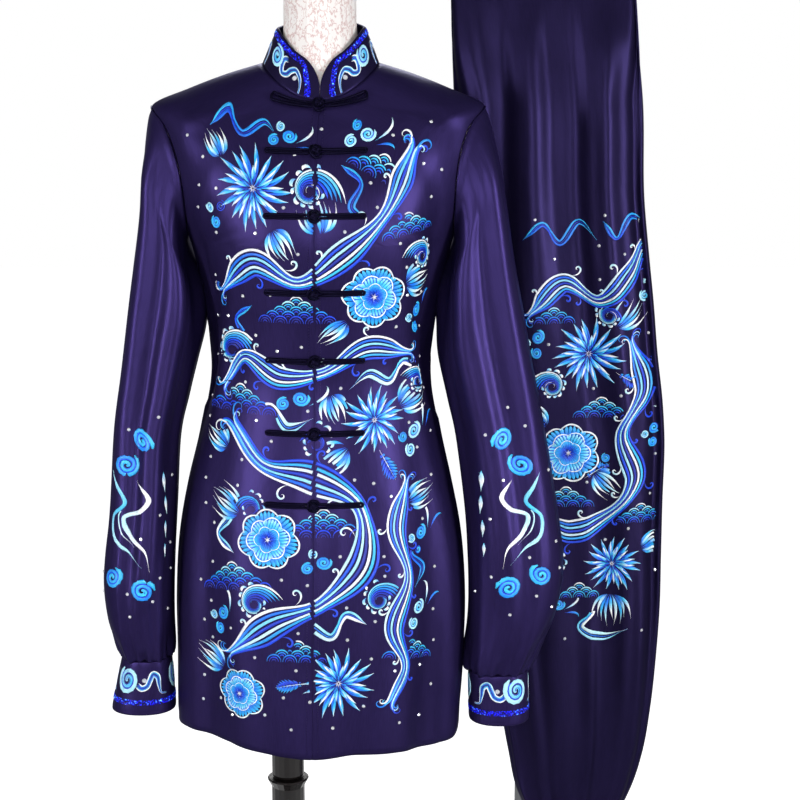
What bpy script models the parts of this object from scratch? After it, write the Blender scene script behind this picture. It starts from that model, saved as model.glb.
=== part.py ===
"""Tai chi uniform: a satin jacket with a stand collar and knotted frogs on a limbless dress form,
and its loose trousers, which hang side on from a clip hanger behind the left sleeve.

Metres, +Z up. The front faces -Y and the wearer's right is at -X. The origin is on the floor,
under the pole of the dress form's stand.
"""

import math
from collections import namedtuple

import bmesh
import bpy
import numpy as np
from mathutils import Matrix, Vector
from mathutils.bvhtree import BVHTree

# Cloth and seams
CLOTH = 0.0012          # satin wall
STIFF_CLOTH = 0.0020    # interfaced collar, cuffs and bands
SEAM_GAP = 0.0006       # between neighbouring pieces
REST_GAP = 0.0003       # between a piece and what it lies on

# Jacket body, worn. angle 0 is the front, 90 the wearer's left side, 180 the back.
TORSO_X = 0.040         # middle of the body, from the stand's pole
Level = namedtuple("Level", "up front_z side_z back_z half_width front_y back_y centre_x")
BODY = (
    Level(-0.020, 0.582, 0.582, 0.582, 0.160, -0.122, 0.115, -0.004),
    Level(0.035, 0.631, 0.631, 0.631, 0.161, -0.122, 0.115, -0.003),
    Level(0.090, 0.680, 0.680, 0.680, 0.162, -0.121, 0.116, -0.001),
    Level(0.165, 0.745, 0.745, 0.745, 0.1625, -0.119, 0.116, 0.000),
    Level(0.250, 0.820, 0.820, 0.820, 0.157, -0.113, 0.108, 0.000),
    Level(0.320, 0.880, 0.880, 0.880, 0.1455, -0.106, 0.096, 0.000),
    Level(0.385, 0.937, 0.937, 0.937, 0.131, -0.099, 0.083, 0.001),
    Level(0.465, 1.010, 1.010, 1.010, 0.118, -0.095, 0.074, 0.002),
    Level(0.520, 1.060, 1.060, 1.060, 0.121, -0.103, 0.078, 0.003),
    Level(0.570, 1.105, 1.105, 1.105, 0.130, -0.114, 0.084, 0.004),
    Level(0.620, 1.150, 1.150, 1.150, 0.143, -0.121, 0.090, 0.004),
    Level(0.675, 1.195, 1.195, 1.195, 0.160, -0.117, 0.095, 0.004),
    Level(0.730, 1.228, 1.240, 1.240, 0.172, -0.104, 0.094, 0.003),
    Level(0.780, 1.252, 1.270, 1.275, 0.177, -0.091, 0.086, 0.002),
    Level(0.830, 1.268, 1.288, 1.298, 0.177, -0.081, 0.076, 0.002),
    Level(0.890, 1.279, 1.305, 1.314, 0.140, -0.074, 0.068, 0.003),
    Level(0.945, 1.288, 1.320, 1.328, 0.101, -0.067, 0.060, 0.004),
    Level(1.000, 1.296, 1.332, 1.338, 0.062, -0.060, 0.050, 0.005),
)
ARMPIT_UP = 0.620
SHOULDER_UP = 0.830
ARMHOLE_FRONT = 30.0    # degrees that the armhole cuts into the front
ARMHOLE_BACK = 25.0
OPENING_HEM_X = -0.006  # the centre opening swings a little as it falls
OPENING_NECK_X = 0.006
# Heights of the panels' rows below the armpit, closer at the waist
PANEL_UPS = (0.0, 0.055, 0.115, 0.175, 0.235, 0.295, 0.345, 0.39, 0.43, 0.47, 0.51, 0.55, 0.585)
VENT_UP = 0.135         # top of the side vents
VENT_ANGLE = 2.2        # degrees that each vent edge stands off the side at the hem
HEM_CORNER = 0.008      # rise of the hem at the vents
OPENING_DROP = 0.0075   # both fronts hang lower at the opening
RIGHT_HEM_RISE = 0.009  # the right front's hem swings up, the left one's down
LEFT_HEM_RISE = -0.013

# A soft fold: a ridge (depth > 0) or trough from its low end to its high end.
Fold = namedtuple("Fold", "low_angle low_up high_angle high_up width depth")
BODY_FOLDS = (
    Fold(-76, 0.48, -54, 0.69, 8.0, -0.0055),
    Fold(-62, 0.45, -38, 0.62, 8.0, 0.0040),
    Fold(74, 0.48, 54, 0.68, 8.0, -0.0055),
    Fold(60, 0.44, 38, 0.61, 8.0, 0.0038),
    Fold(-66, 0.00, -62, 0.40, 9.0, 0.0050),
    Fold(-46, 0.00, -50, 0.33, 9.0, -0.0050),
    Fold(-24, 0.00, -30, 0.24, 9.0, 0.0035),
    Fold(27, 0.00, 34, 0.30, 9.0, 0.0045),
    Fold(48, 0.00, 52, 0.36, 9.0, -0.0050),
    Fold(68, 0.02, 64, 0.42, 9.0, 0.0045),
    Fold(118, 0.00, 124, 0.38, 9.0, 0.0045),
    Fold(142, 0.00, 140, 0.33, 10.0, -0.0050),
    Fold(168, 0.00, 164, 0.26, 10.0, 0.0035),
    Fold(-164, 0.00, -160, 0.30, 10.0, -0.0040),
    Fold(-140, 0.00, -143, 0.34, 9.0, 0.0050),
    Fold(-118, 0.02, -122, 0.38, 9.0, -0.0045),
    Fold(110, 0.46, 132, 0.68, 9.0, -0.0050),
    Fold(-110, 0.46, -132, 0.68, 9.0, -0.0050),
)

# Sleeves: x and z of the outer and the inner edge, measured out from the body's middle.
Ring = namedtuple("Ring", "outer_x outer_z inner_x inner_z half_depth middle_y")
RIGHT_SLEEVE = (
    Ring(0.1835, 1.264, 0.1412, 1.1330, 0.056, 0.002),
    Ring(0.1855, 1.226, 0.1338, 1.1100, 0.058, 0.000),
    Ring(0.1890, 1.180, 0.1262, 1.0850, 0.058, -0.002),
    Ring(0.1964, 1.125, 0.1262, 1.0500, 0.057, -0.004),
    Ring(0.2041, 1.070, 0.1345, 1.0110, 0.056, -0.006),
    Ring(0.2126, 1.006, 0.1440, 0.9720, 0.055, -0.009),
    Ring(0.2220, 0.943, 0.1535, 0.9280, 0.054, -0.013),
    Ring(0.2290, 0.860, 0.1575, 0.8550, 0.054, -0.019),
    Ring(0.2367, 0.798, 0.1605, 0.7980, 0.053, -0.026),
    Ring(0.2385, 0.764, 0.1620, 0.7640, 0.052, -0.029),
    Ring(0.2349, 0.726, 0.1630, 0.7260, 0.047, -0.031),
    Ring(0.2269, 0.700, 0.1645, 0.7000, 0.039, -0.032),
    Ring(0.2215, 0.683, 0.1662, 0.6830, 0.030, -0.032),
)
LEFT_SLEEVE = (
    Ring(0.1880, 1.266, 0.1471, 1.1330, 0.056, 0.002),
    Ring(0.1955, 1.230, 0.1400, 1.1100, 0.058, 0.000),
    Ring(0.2039, 1.183, 0.1325, 1.0850, 0.058, -0.001),
    Ring(0.2123, 1.127, 0.1316, 1.0500, 0.056, -0.003),
    Ring(0.2217, 1.076, 0.1318, 1.0160, 0.054, -0.005),
    Ring(0.2334, 1.013, 0.1413, 0.9700, 0.052, -0.008),
    Ring(0.2481, 0.937, 0.1507, 0.9280, 0.050, -0.011),
    Ring(0.2626, 0.854, 0.1608, 0.8500, 0.049, -0.016),
    Ring(0.2702, 0.796, 0.1640, 0.7960, 0.048, -0.020),
    Ring(0.2680, 0.757, 0.1652, 0.7550, 0.047, -0.022),
    Ring(0.2589, 0.721, 0.1645, 0.7160, 0.044, -0.024),
    Ring(0.2460, 0.694, 0.1608, 0.6740, 0.038, -0.025),
    Ring(0.2332, 0.664, 0.1650, 0.6640, 0.031, -0.025),
)
SLEEVE_COLUMNS = 24
SLEEVE_ROWS = 16
SLEEVE_SET = 0.0017      # how far the sleeve's edge stands off the armhole
CUFF_GATHERS = 6
GATHER_DEPTH = 0.0030
# Long folds down a sleeve: turn 0 is the outer edge, 90 the front, 180 the inner edge.
SleeveFold = namedtuple("SleeveFold", "turn top bottom width depth")
SLEEVE_FOLDS = (
    SleeveFold(48, 0.06, 0.62, 15, 0.0055),
    SleeveFold(80, 0.10, 0.84, 15, -0.0065),
    SleeveFold(114, 0.20, 0.78, 15, 0.0050),
    SleeveFold(148, 0.12, 0.60, 15, -0.0045),
    SleeveFold(222, 0.16, 0.70, 16, -0.0050),
    SleeveFold(258, 0.10, 0.84, 15, 0.0055),
    SleeveFold(300, 0.14, 0.66, 16, -0.0055),
)
Cuff = namedtuple("Cuff", "y top_x top_width top_depth top_z low_x low_width low_depth low_z")
RIGHT_CUFF = Cuff(-0.032, 0.1938, 0.0276, 0.0290, 0.6826, 0.1988, 0.0360, 0.0330, 0.6215)
LEFT_CUFF = Cuff(-0.025, 0.1991, 0.0335, 0.0300, 0.6636, 0.2006, 0.0341, 0.0330, 0.6060)

# Collar
COLLAR_HEIGHT = 0.041
COLLAR_TOP_HALF_WIDTH = 0.0455
COLLAR_TOP_FRONT_Y = -0.048
COLLAR_TOP_BACK_Y = 0.047
COLLAR_CORNER = 24.0    # degrees over which the front corners round down
COLLAR_END_SHARE = 0.26 # height left at the meeting ends

# Frogs, top to bottom: where the knot lies down the opening
FROG_Z = (1.2900, 1.2445, 1.1815, 1.1020, 1.0275, 0.9495, 0.8735)
FROG_REACH = 0.050
NECK_SEAM_Z = 1.2935    # just under the collar's seam at the opening
FROG_CORD = 0.0015      # radius of the bias cord
FROG_KNOT = 0.0050      # radius of the knot
FROG_SPREAD = 0.0018    # half the distance between a strap's two cords
FROG_LIFT = 0.0007      # more than the rest gap, for the cloth's facets

# Trousers: laid flat, front over back, and folded lengthwise at the centre front, then hung.
# The left leg is nearer the viewer. The fold is at the left edge, the side seams at the right.
TROUSER_Y = 0.127       # plane between the two legs
Drop = namedtuple("Drop", "z fold_x side_x half_thick")
TROUSERS = (
    Drop(1.402, 0.1470, 0.3524, 0.0095),
    Drop(1.342, 0.1480, 0.3570, 0.0220),
    Drop(1.287, 0.1501, 0.3626, 0.0310),
    Drop(1.174, 0.1531, 0.3672, 0.036),
    Drop(1.115, 0.1547, 0.3738, 0.037),
    Drop(1.057, 0.1572, 0.3809, 0.038),
    Drop(0.998, 0.1613, 0.3870, 0.038),
    Drop(0.940, 0.1653, 0.3946, 0.039),
    Drop(0.901, 0.1684, 0.3977, 0.039),
    Drop(0.818, 0.1755, 0.3976, 0.040),
    Drop(0.757, 0.1816, 0.3978, 0.041),
    Drop(0.694, 0.1883, 0.3980, 0.042),
    Drop(0.632, 0.1984, 0.3953, 0.043),
    Drop(0.567, 0.2095, 0.3903, 0.043),
    Drop(0.510, 0.2200, 0.3825, 0.042),
    Drop(0.460, 0.2310, 0.3690, 0.039),
    Drop(0.425, 0.2470, 0.3540, 0.035),
    Drop(0.407, 0.2570, 0.3450, 0.032),
)
LEG_GAP = 0.0018        # from each leg's inner face to the plane between them
FORK_HIGH_Z = 1.120     # where the seat seams start to turn under
FORK_LOW_Z = 1.045      # the crotch
SEAT_TURN = 238.0       # degrees round the leg at which the back seat seam lies
ANKLE_GATHERS = 7
LegFold = namedtuple("LegFold", "turn top_z low_z width depth")
LEG_FOLDS = (
    LegFold(-52, 1.40, 1.02, 9, 0.0060),
    LegFold(-30, 1.40, 0.86, 9, -0.0070),
    LegFold(-10, 1.39, 1.05, 8, 0.0050),
    LegFold(12, 1.40, 0.95, 9, -0.0055),
    LegFold(33, 1.40, 0.80, 10, 0.0070),
    LegFold(58, 1.37, 0.62, 9, -0.0065),
    LegFold(-48, 0.80, 0.44, 10, -0.0055),
    LegFold(-14, 0.74, 0.44, 9, 0.0055),
    LegFold(20, 0.80, 0.44, 9, -0.0060),
    LegFold(46, 0.70, 0.44, 9, 0.0055),
)
WAISTBAND_HEIGHT = 0.040
BAND_POWER = 6.0        # squareness of the waistband's flattened section
BAND_HALF_THICK = 0.0095
ANKLE_HEIGHT = 0.028

# Clip hanger and the plain stand that carries it
HANGER_Z = 1.478
HANGER_HALF_LENGTH = 0.125
HANGER_BAR = 0.0045     # radius
CLIP_WIDTH = 0.026
CLIP_REACH = 0.062      # how far a clip's jaws come down from the bar
CLIP_PLATE = 0.0025
CLIP_X = 0.074          # from the hanger's middle
HOOK_WIRE = 0.0016
HOOK_BEND = 0.019
RAIL_X = 0.248          # hanger, rail and trouser stand
RAIL_Z = 1.5745         # top of the arm that the hook hangs on
RAIL_RADIUS = 0.0065
STAND_Y = 0.215
STAND_POLE = 0.0125
STAND_TOP_Z = 1.600
STAND_BASE = 0.150      # radius

# Dress form
FORM_EASE = 0.0110      # from the jacket's outer face in to the form, and at the shoulders
SHOULDER_EASE = 0.0030
FORM_BOTTOM_UP = 0.062
NECK_HALF_WIDTH = 0.0385
NECK_X = 0.0445
NECK_TOP_Z = 1.432
POLE_RADIUS = 0.0184
POLE_JOINT_Z = 0.5225   # where the pole slides into its socket
SOCKET_LIP = 0.0238
FORM_BASE = 0.190       # radius

COLOURS = {
    "satin": ((0.022, 0.016, 0.060, 1.0), 0.34, 0.0),
    "trim": ((0.012, 0.010, 0.034, 1.0), 0.45, 0.0),
    "form": ((0.86, 0.82, 0.80, 1.0), 0.75, 0.0),
    "black": ((0.010, 0.009, 0.009, 1.0), 0.18, 0.0),
    "steel": ((0.60, 0.60, 0.62, 1.0), 0.28, 1.0),
    "stand": ((0.42, 0.43, 0.45, 1.0), 0.40, 1.0),
    "clip": ((0.80, 0.80, 0.82, 1.0), 0.35, 0.0),
}


def clear_scene():
    for obj in list(bpy.data.objects):
        bpy.data.objects.remove(obj, do_unlink=True)


def material(name):
    found = bpy.data.materials.get(name)
    if found:
        return found
    colour, rough, metal = COLOURS[name]
    made = bpy.data.materials.new(name)
    made.use_nodes = True
    shader = made.node_tree.nodes["Principled BSDF"]
    shader.inputs["Base Color"].default_value = colour
    shader.inputs["Roughness"].default_value = rough
    shader.inputs["Metallic"].default_value = metal
    made.diffuse_color = colour
    return made


def collection():
    found = bpy.data.collections.get("tai_chi_uniform")
    if not found:
        found = bpy.data.collections.new("tai_chi_uniform")
        bpy.context.scene.collection.children.link(found)
    return found


def add_object(name, data, finish):
    obj = bpy.data.objects.new(name, data)
    data.materials.append(material(finish))
    collection().objects.link(obj)
    return obj


def curve_through(knots, values, at):
    """Smooth values at the given places, through a table's knots (cubic Hermite)."""
    knots = np.asarray(knots, float)
    values = np.asarray(values, float)
    slopes = np.gradient(values, knots)
    at = np.clip(np.asarray(at, float), knots[0], knots[-1])
    i = np.clip(np.searchsorted(knots, at, side="right") - 1, 0, len(knots) - 2)
    step = knots[i + 1] - knots[i]
    t = (at - knots[i]) / step
    return (
        (2 * t**3 - 3 * t**2 + 1) * values[i]
        + (t**3 - 2 * t**2 + t) * step * slopes[i]
        + (3 * t**2 - 2 * t**3) * values[i + 1]
        + (t**3 - t**2) * step * slopes[i + 1]
    )


def column(table, name):
    return [getattr(row, name) for row in table]


def smooth_step(low, high, value):
    t = np.clip((value - low) / (high - low), 0.0, 1.0)
    return t * t * (3 - 2 * t)


def body_surface(angle, up):
    """Points of the jacket body's own smooth form, before its folds. angle in degrees."""
    angle, up = np.broadcast_arrays(np.asarray(angle, float), np.asarray(up, float))
    level = {n: curve_through(column(BODY, "up"), column(BODY, n), up) for n in Level._fields[1:]}
    sine, cosine = np.sin(np.radians(angle)), np.cos(np.radians(angle))
    front = cosine >= 0
    depth = np.where(front, -level["front_y"], level["back_y"])
    middle_z = np.where(front, level["front_z"], level["back_z"])
    x = TORSO_X + level["centre_x"] + level["half_width"] * sine
    y = -depth * cosine
    z = middle_z + (level["side_z"] - middle_z) * sine**2
    return np.stack([x, y, z], axis=-1)


def normals_of(surface, a, b, step_a, step_b):
    """Unit normals of a surface function by central differences: first argument, then second."""
    along_a = surface(a + step_a, b) - surface(a - step_a, b)
    along_b = surface(a, b + step_b) - surface(a, b - step_b)
    normal = np.cross(along_a, along_b)
    return normal / np.linalg.norm(normal, axis=-1, keepdims=True)


def fold_height(folds, angle, up):
    total = np.zeros(np.broadcast(angle, up).shape)
    for fold in folds:
        along = np.clip((up - fold.low_up) / (fold.high_up - fold.low_up), 0.0, 1.0)
        middle = fold.low_angle + (fold.high_angle - fold.low_angle) * along
        away = (angle - middle + 180.0) % 360.0 - 180.0
        beyond = np.maximum(fold.low_up - up, up - fold.high_up) / 0.05
        ends = np.where(along <= 0, np.exp(-np.maximum(beyond, 0.0) ** 2), 1.0 - 0.75 * along**2)
        ends = np.where(up > fold.high_up, 0.25 * np.exp(-np.maximum(beyond, 0.0) ** 2), ends)
        total = total + fold.depth * ends * np.exp(-((away / fold.width) ** 2))
    return total


def body_points(angle, up, lift=0.0):
    """Points on the jacket body's outer face, with its folds, moved out by lift."""
    angle, up = np.broadcast_arrays(np.asarray(angle, float), np.asarray(up, float))
    inside = np.clip(up, -0.017, 0.996)
    normal = normals_of(body_surface, angle, inside, 0.5, 0.002)
    height = fold_height(BODY_FOLDS, angle, up) + lift
    return body_surface(angle, up) + normal * height[..., None]


def cloth(name, points, finish, thickness, wrap=False, flip=False):
    """A cloth wall from a grid of outer points, rows by columns, thickened inwards."""
    rows, columns = points.shape[:2]
    faces = []
    for i in range(rows - 1):
        for j in range(columns if wrap else columns - 1):
            k = (j + 1) % columns
            face = (i * columns + j, i * columns + k, (i + 1) * columns + k, (i + 1) * columns + j)
            faces.append(face[::-1] if flip else face)
    mesh = bpy.data.meshes.new(name)
    mesh.from_pydata(points.reshape(-1, 3).tolist(), [], faces)
    mesh.shade_smooth()
    obj = add_object(name, mesh, finish)
    wall = obj.modifiers.new("wall", "SOLIDIFY")
    wall.thickness = thickness
    wall.offset = -1.0
    return obj


def loft(name, rings, finish):
    """A closed solid through rings of points, with flat ends."""
    count = len(rings[0])
    mesh = bpy.data.meshes.new(name)
    form = bmesh.new()
    loops = [[form.verts.new(p) for p in ring] for ring in rings]
    for low, high in zip(loops, loops[1:]):
        for j in range(count):
            k = (j + 1) % count
            form.faces.new((low[j], low[k], high[k], high[j]))
    form.faces.new(loops[0][::-1])
    form.faces.new(loops[-1])
    bmesh.ops.recalc_face_normals(form, faces=form.faces)
    form.to_mesh(mesh)
    form.free()
    mesh.shade_smooth()
    return add_object(name, mesh, finish)


def turned(name, profile, finish, x, y, steps=24):
    """A turned solid: profile of (radius, z), top to bottom, round a vertical axis."""
    mesh = bpy.data.meshes.new(name)
    points = [(radius, 0.0, z) for radius, z in profile]
    mesh.from_pydata(points, [(i, i + 1) for i in range(len(points) - 1)], [])
    obj = add_object(name, mesh, finish)
    obj.location = (x, y, 0.0)
    screw = obj.modifiers.new("turn", "SCREW")
    screw.steps = steps
    screw.render_steps = steps
    screw.use_merge_vertices = True
    screw.merge_threshold = 0.00005
    return obj


def tube(name, points, radius, finish, sides=2, radii=None):
    """A bent rod or cord through points, with filled ends. sides is the bevel resolution."""
    data = bpy.data.curves.new(name, "CURVE")
    data.dimensions = "3D"
    data.bevel_depth = radius
    data.bevel_resolution = sides
    data.use_fill_caps = True
    line = data.splines.new("POLY")
    line.points.add(len(points) - 1)
    for i, point in enumerate(points):
        line.points[i].co = (*point, 1.0)
        line.points[i].radius = radii[i] if radii else 1.0
    return add_object(name, data, finish)


def pull_in(points, start=0.0, end=0.0, low=0.0, high=0.0):
    """Draws a grid's four edges in along the cloth, to leave the seam gaps."""
    grid = points.copy()

    def towards(edge, inner, distance):
        step = inner - edge
        return edge + step * (distance / np.linalg.norm(step, axis=-1, keepdims=True))

    if start:
        grid[:, 0] = towards(grid[:, 0], grid[:, 1], start)
    if end:
        grid[:, -1] = towards(grid[:, -1], grid[:, -2], end)
    if low:
        grid[0] = towards(grid[0], grid[1], low)
    if high:
        grid[-1] = towards(grid[-1], grid[-2], high)
    return grid


def armhole_share(up):
    """0 at the armpit and the shoulder point, 1 at the armhole's deepest."""
    t = np.clip((np.asarray(up, float) - ARMPIT_UP) / (SHOULDER_UP - ARMPIT_UP), 0.0, 1.0)
    return np.sqrt(4 * t * (1 - t))


def side_edge(up, cut):
    """Angle from the body's middle line at which a front or back panel ends."""
    vent = VENT_ANGLE * (1 - smooth_step(0.0, VENT_UP, up))
    return 90.0 - cut * armhole_share(up) - vent


def panel_rows():
    """Heights of a body panel's rows: hem to armpit, round the armhole, shoulder to neck."""
    low = PANEL_UPS
    turn = (1 - np.cos(np.pi * np.arange(8) / 8)) / 2
    arm = ARMPIT_UP + (SHOULDER_UP - ARMPIT_UP) * turn
    top = np.linspace(SHOULDER_UP, 1.0, 4)
    return np.concatenate([low, arm, top])


def opening_angle(up):
    """Angle of the centre front opening at a height."""
    x = OPENING_HEM_X + (OPENING_NECK_X - OPENING_HEM_X) * up
    middle = curve_through(column(BODY, "up"), column(BODY, "centre_x"), up)
    half = curve_through(column(BODY, "up"), column(BODY, "half_width"), up)
    return np.degrees(np.arcsin((x - middle) / half))


def hem_rise(share, swing=0.0, drop=0.0):
    """How far the hem stands above its level, from the middle (0) to the vent (1)."""
    corner = HEM_CORNER * np.clip((share - 0.8) / 0.2, 0.0, 1.0) ** 2
    return corner + swing * smooth_step(0.08, 0.75, share) - drop * np.exp(-((share / 0.17) ** 2))


def front_panel(name, side):
    """One front: side -1 is the wearer's right, +1 the left."""
    share = np.linspace(0.0, 1.0, 11)
    swing = LEFT_HEM_RISE if side > 0 else RIGHT_HEM_RISE
    rows = []
    for up in panel_rows():
        start = opening_angle(up)
        end = side * side_edge(up, ARMHOLE_FRONT)
        angle = start + (end - start) * share
        height = up + hem_rise(share, swing, OPENING_DROP) * max(1 - up / 0.3, 0.0)
        rows.append(body_points(angle, height))
    grid = pull_in(np.array(rows), SEAM_GAP / 2, SEAM_GAP, 0.0, SEAM_GAP)
    return cloth(name, grid, "satin", CLOTH, flip=side < 0)


def front_tree(panels):
    """The outer faces of both fronts, to lay the frogs on."""
    points, faces = [], []
    for panel in panels:
        start = len(points)
        points.extend(v.co[:] for v in panel.data.vertices)
        faces.extend([start + i for i in f.vertices] for f in panel.data.polygons)
    return BVHTree.FromPolygons(points, faces)


def back_panel():
    """The back, one piece from side seam to side seam."""
    share = np.linspace(-1.0, 1.0, 19)
    rows = []
    for up in panel_rows():
        half = side_edge(up, ARMHOLE_BACK)
        height = up + hem_rise(np.abs(share)) * max(1 - up / 0.3, 0.0)
        rows.append(body_points(180.0 + share * half, height))
    grid = pull_in(np.array(rows), SEAM_GAP, SEAM_GAP, 0.0, SEAM_GAP)
    return cloth("back", grid, "satin", CLOTH)


def armhole(side, count):
    """The armhole's edge on the body, from the shoulder point round the front, armpit and back."""
    t = (1 + np.cos(np.radians(np.linspace(0.0, 180.0, 60)))) / 2
    up = ARMPIT_UP + (SHOULDER_UP - ARMPIT_UP) * t
    front = side * (90.0 - ARMHOLE_FRONT * armhole_share(up))
    back = side * (90.0 + ARMHOLE_BACK * armhole_share(up))
    line = np.concatenate([body_points(front, up), body_points(back, up)[::-1][1:]])
    lengths = np.concatenate([[0], np.cumsum(np.linalg.norm(np.diff(line, axis=0), axis=1))])
    half = lengths[59]
    share = np.arange(count) / count
    first = share <= 0.5
    at = np.where(first, share * 2 * half, half + (share - 0.5) * 2 * (lengths[-1] - half))
    return np.stack([np.interp(at, lengths, line[:, k]) for k in range(3)], axis=1)


def sleeve_height(folds, turn, along):
    """Displacement of a sleeve: its long folds, then the gathers above the cuff."""
    total = np.zeros(turn.shape)
    for fold in folds:
        away = (turn - fold.turn + 180.0) % 360.0 - 180.0
        rise = smooth_step(fold.top - 0.06, fold.top + 0.14, along)
        fall = 1 - smooth_step(fold.bottom - 0.16, fold.bottom + 0.10, along)
        total = total + fold.depth * rise * fall * np.exp(-((away / fold.width) ** 2))
    gathers = smooth_step(0.78, 0.95, along) * (1 - 0.35 * smooth_step(0.97, 1.0, along))
    return total + GATHER_DEPTH * gathers * np.cos(np.radians(turn * CUFF_GATHERS))


def sleeve_points(side, turn, along):
    """A sleeve's outer face. turn in degrees round it, along 0 at the armhole, 1 at the cuff."""
    table = LEFT_SLEEVE if side > 0 else RIGHT_SLEEVE
    knots = np.linspace(0.0, 1.0, len(table) + 1)[1:]
    ring = {n: curve_through(knots, column(table, n), along) for n in Ring._fields}
    cosine, sine = np.cos(np.radians(turn)), np.sin(np.radians(turn))
    round_off = (np.abs(cosine) ** 2.4 + np.abs(sine) ** 2.4) ** (-1 / 2.4)
    across = cosine * round_off
    middle_x = (ring["outer_x"] + ring["inner_x"]) / 2
    middle_z = (ring["outer_z"] + ring["inner_z"]) / 2
    x = middle_x + (ring["outer_x"] - ring["inner_x"]) / 2 * across
    z = middle_z + (ring["outer_z"] - ring["inner_z"]) / 2 * across
    y = ring["middle_y"] - ring["half_depth"] * sine * round_off
    return np.stack([TORSO_X + side * x, y, z], axis=-1)


def sleeve(name, side):
    """A set-in sleeve: it leaves the armhole's edge and is gathered to the cuff's top."""
    turn = np.arange(SLEEVE_COLUMNS) * 360.0 / SLEEVE_COLUMNS
    edge = armhole(side, SLEEVE_COLUMNS)
    centre = edge.mean(axis=0)
    first = len(RIGHT_SLEEVE) + 1
    stations = np.concatenate([[0.0], np.linspace(1.0 / first, 1.0, SLEEVE_ROWS)])
    rows = []
    for along in stations:
        level = np.full(turn.shape, max(along, 1.0 / first))
        flat = sleeve_points(side, turn, level)
        ahead = sleeve_points(side, turn, np.minimum(level + 0.01, 1.0))
        behind = sleeve_points(side, turn, np.maximum(level - 0.01, 1.0 / first))
        round_step = sleeve_points(side, turn + 1, level) - sleeve_points(side, turn - 1, level)
        normal = side * np.cross(round_step, ahead - behind)
        normal /= np.linalg.norm(normal, axis=-1, keepdims=True)
        height = sleeve_height(SLEEVE_FOLDS, turn, level)
        flat = flat + normal * height[:, None]
        keep = 1 - smooth_step(0.0, 0.16, np.full(turn.shape, along))
        rows.append(flat * (1 - keep[:, None]) + edge * keep[:, None])
    grid = np.array(rows)
    out = np.array([side, 0.0, 0.0])
    lift = (edge - centre) / np.linalg.norm(edge - centre, axis=-1, keepdims=True)
    grid[0] = edge + out * SLEEVE_SET + lift * 0.0002
    return cloth(name, grid, "satin", CLOTH, wrap=True, flip=side < 0)


def oval(x, y, z, half_width, half_depth, columns, power=2.2):
    """A ring of points: a rounded oval, from its +X side towards -Y."""
    turn = np.radians(np.arange(columns) * 360.0 / columns)
    cosine, sine = np.cos(turn), np.sin(turn)
    round_off = (np.abs(cosine) ** power + np.abs(sine) ** power) ** (-1 / power)
    return np.stack(
        [x + half_width * cosine * round_off, y - half_depth * sine * round_off, np.full(columns, z)],
        axis=1,
    )


def cuff(name, side, size):
    """An interfaced cuff: a flared band closed round the wrist."""
    rows = []
    for share in (0.0, 0.5, 1.0):
        x = size.top_x + (size.low_x - size.top_x) * share
        width = size.top_width + (size.low_width - size.top_width) * share
        depth = size.top_depth + (size.low_depth - size.top_depth) * share
        z = size.top_z + (size.low_z - size.top_z) * share
        rows.append(oval(TORSO_X + side * x, size.y, z, width, depth, 20))
    return cloth(name, np.array(rows), "satin", STIFF_CLOTH, wrap=True)


def collar():
    """The stand collar: one band from end to end, its front corners rounded down."""
    ends = SEAM_GAP / 2 / 0.062
    angle = np.linspace(math.degrees(ends), 360.0 - math.degrees(ends), 33)
    centred = np.minimum(angle, 360.0 - angle)
    opening = opening_angle(1.0)
    corner = np.clip(centred / COLLAR_CORNER, 0.0, 1.0)
    full = COLLAR_END_SHARE + (1 - COLLAR_END_SHARE) * np.sqrt(1 - (1 - corner) ** 2)
    base = body_surface(angle + opening * (1 - centred / 180.0), 1.0)
    sine, cosine = np.sin(np.radians(angle)), np.cos(np.radians(angle))
    depth = np.where(cosine >= 0, -COLLAR_TOP_FRONT_Y, COLLAR_TOP_BACK_Y)
    top = np.stack(
        [TORSO_X + 0.006 + COLLAR_TOP_HALF_WIDTH * sine, -depth * cosine, base[:, 2] + 0.040],
        axis=1,
    )
    slant = top - base
    slant *= COLLAR_HEIGHT / np.linalg.norm(slant, axis=-1, keepdims=True)
    rows = [base + slant * (0.012 + (full - 0.012) * t)[:, None] for t in (0.0, 0.5, 1.0)]
    return cloth("collar", np.array(rows), "satin", STIFF_CLOTH)


def on_front(tree, x, z, lift):
    """A point in front of the fronts' outer faces, moved out by lift."""
    aim = min(z, NECK_SEAM_Z)
    hits = [tree.ray_cast(Vector((x + step, -1.0, aim)), Vector((0.0, 1.0, 0.0))) for step in (-0.003, 0.003)]
    place = (hits[0][0] + hits[1][0]) / 2
    normal = (hits[0][1] + hits[1][1]).normalized()
    if normal.y > 0:
        normal = -normal
    return place + normal * lift + Vector((0.0, 0.0, z - aim))


def opening_x(z):
    """World x of the centre opening at a height."""
    ups = np.linspace(0.0, 1.0, 200)
    up = float(np.interp(z, body_surface(0.0, ups)[:, 2], ups))
    return TORSO_X + OPENING_HEM_X + (OPENING_NECK_X - OPENING_HEM_X) * up


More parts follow.
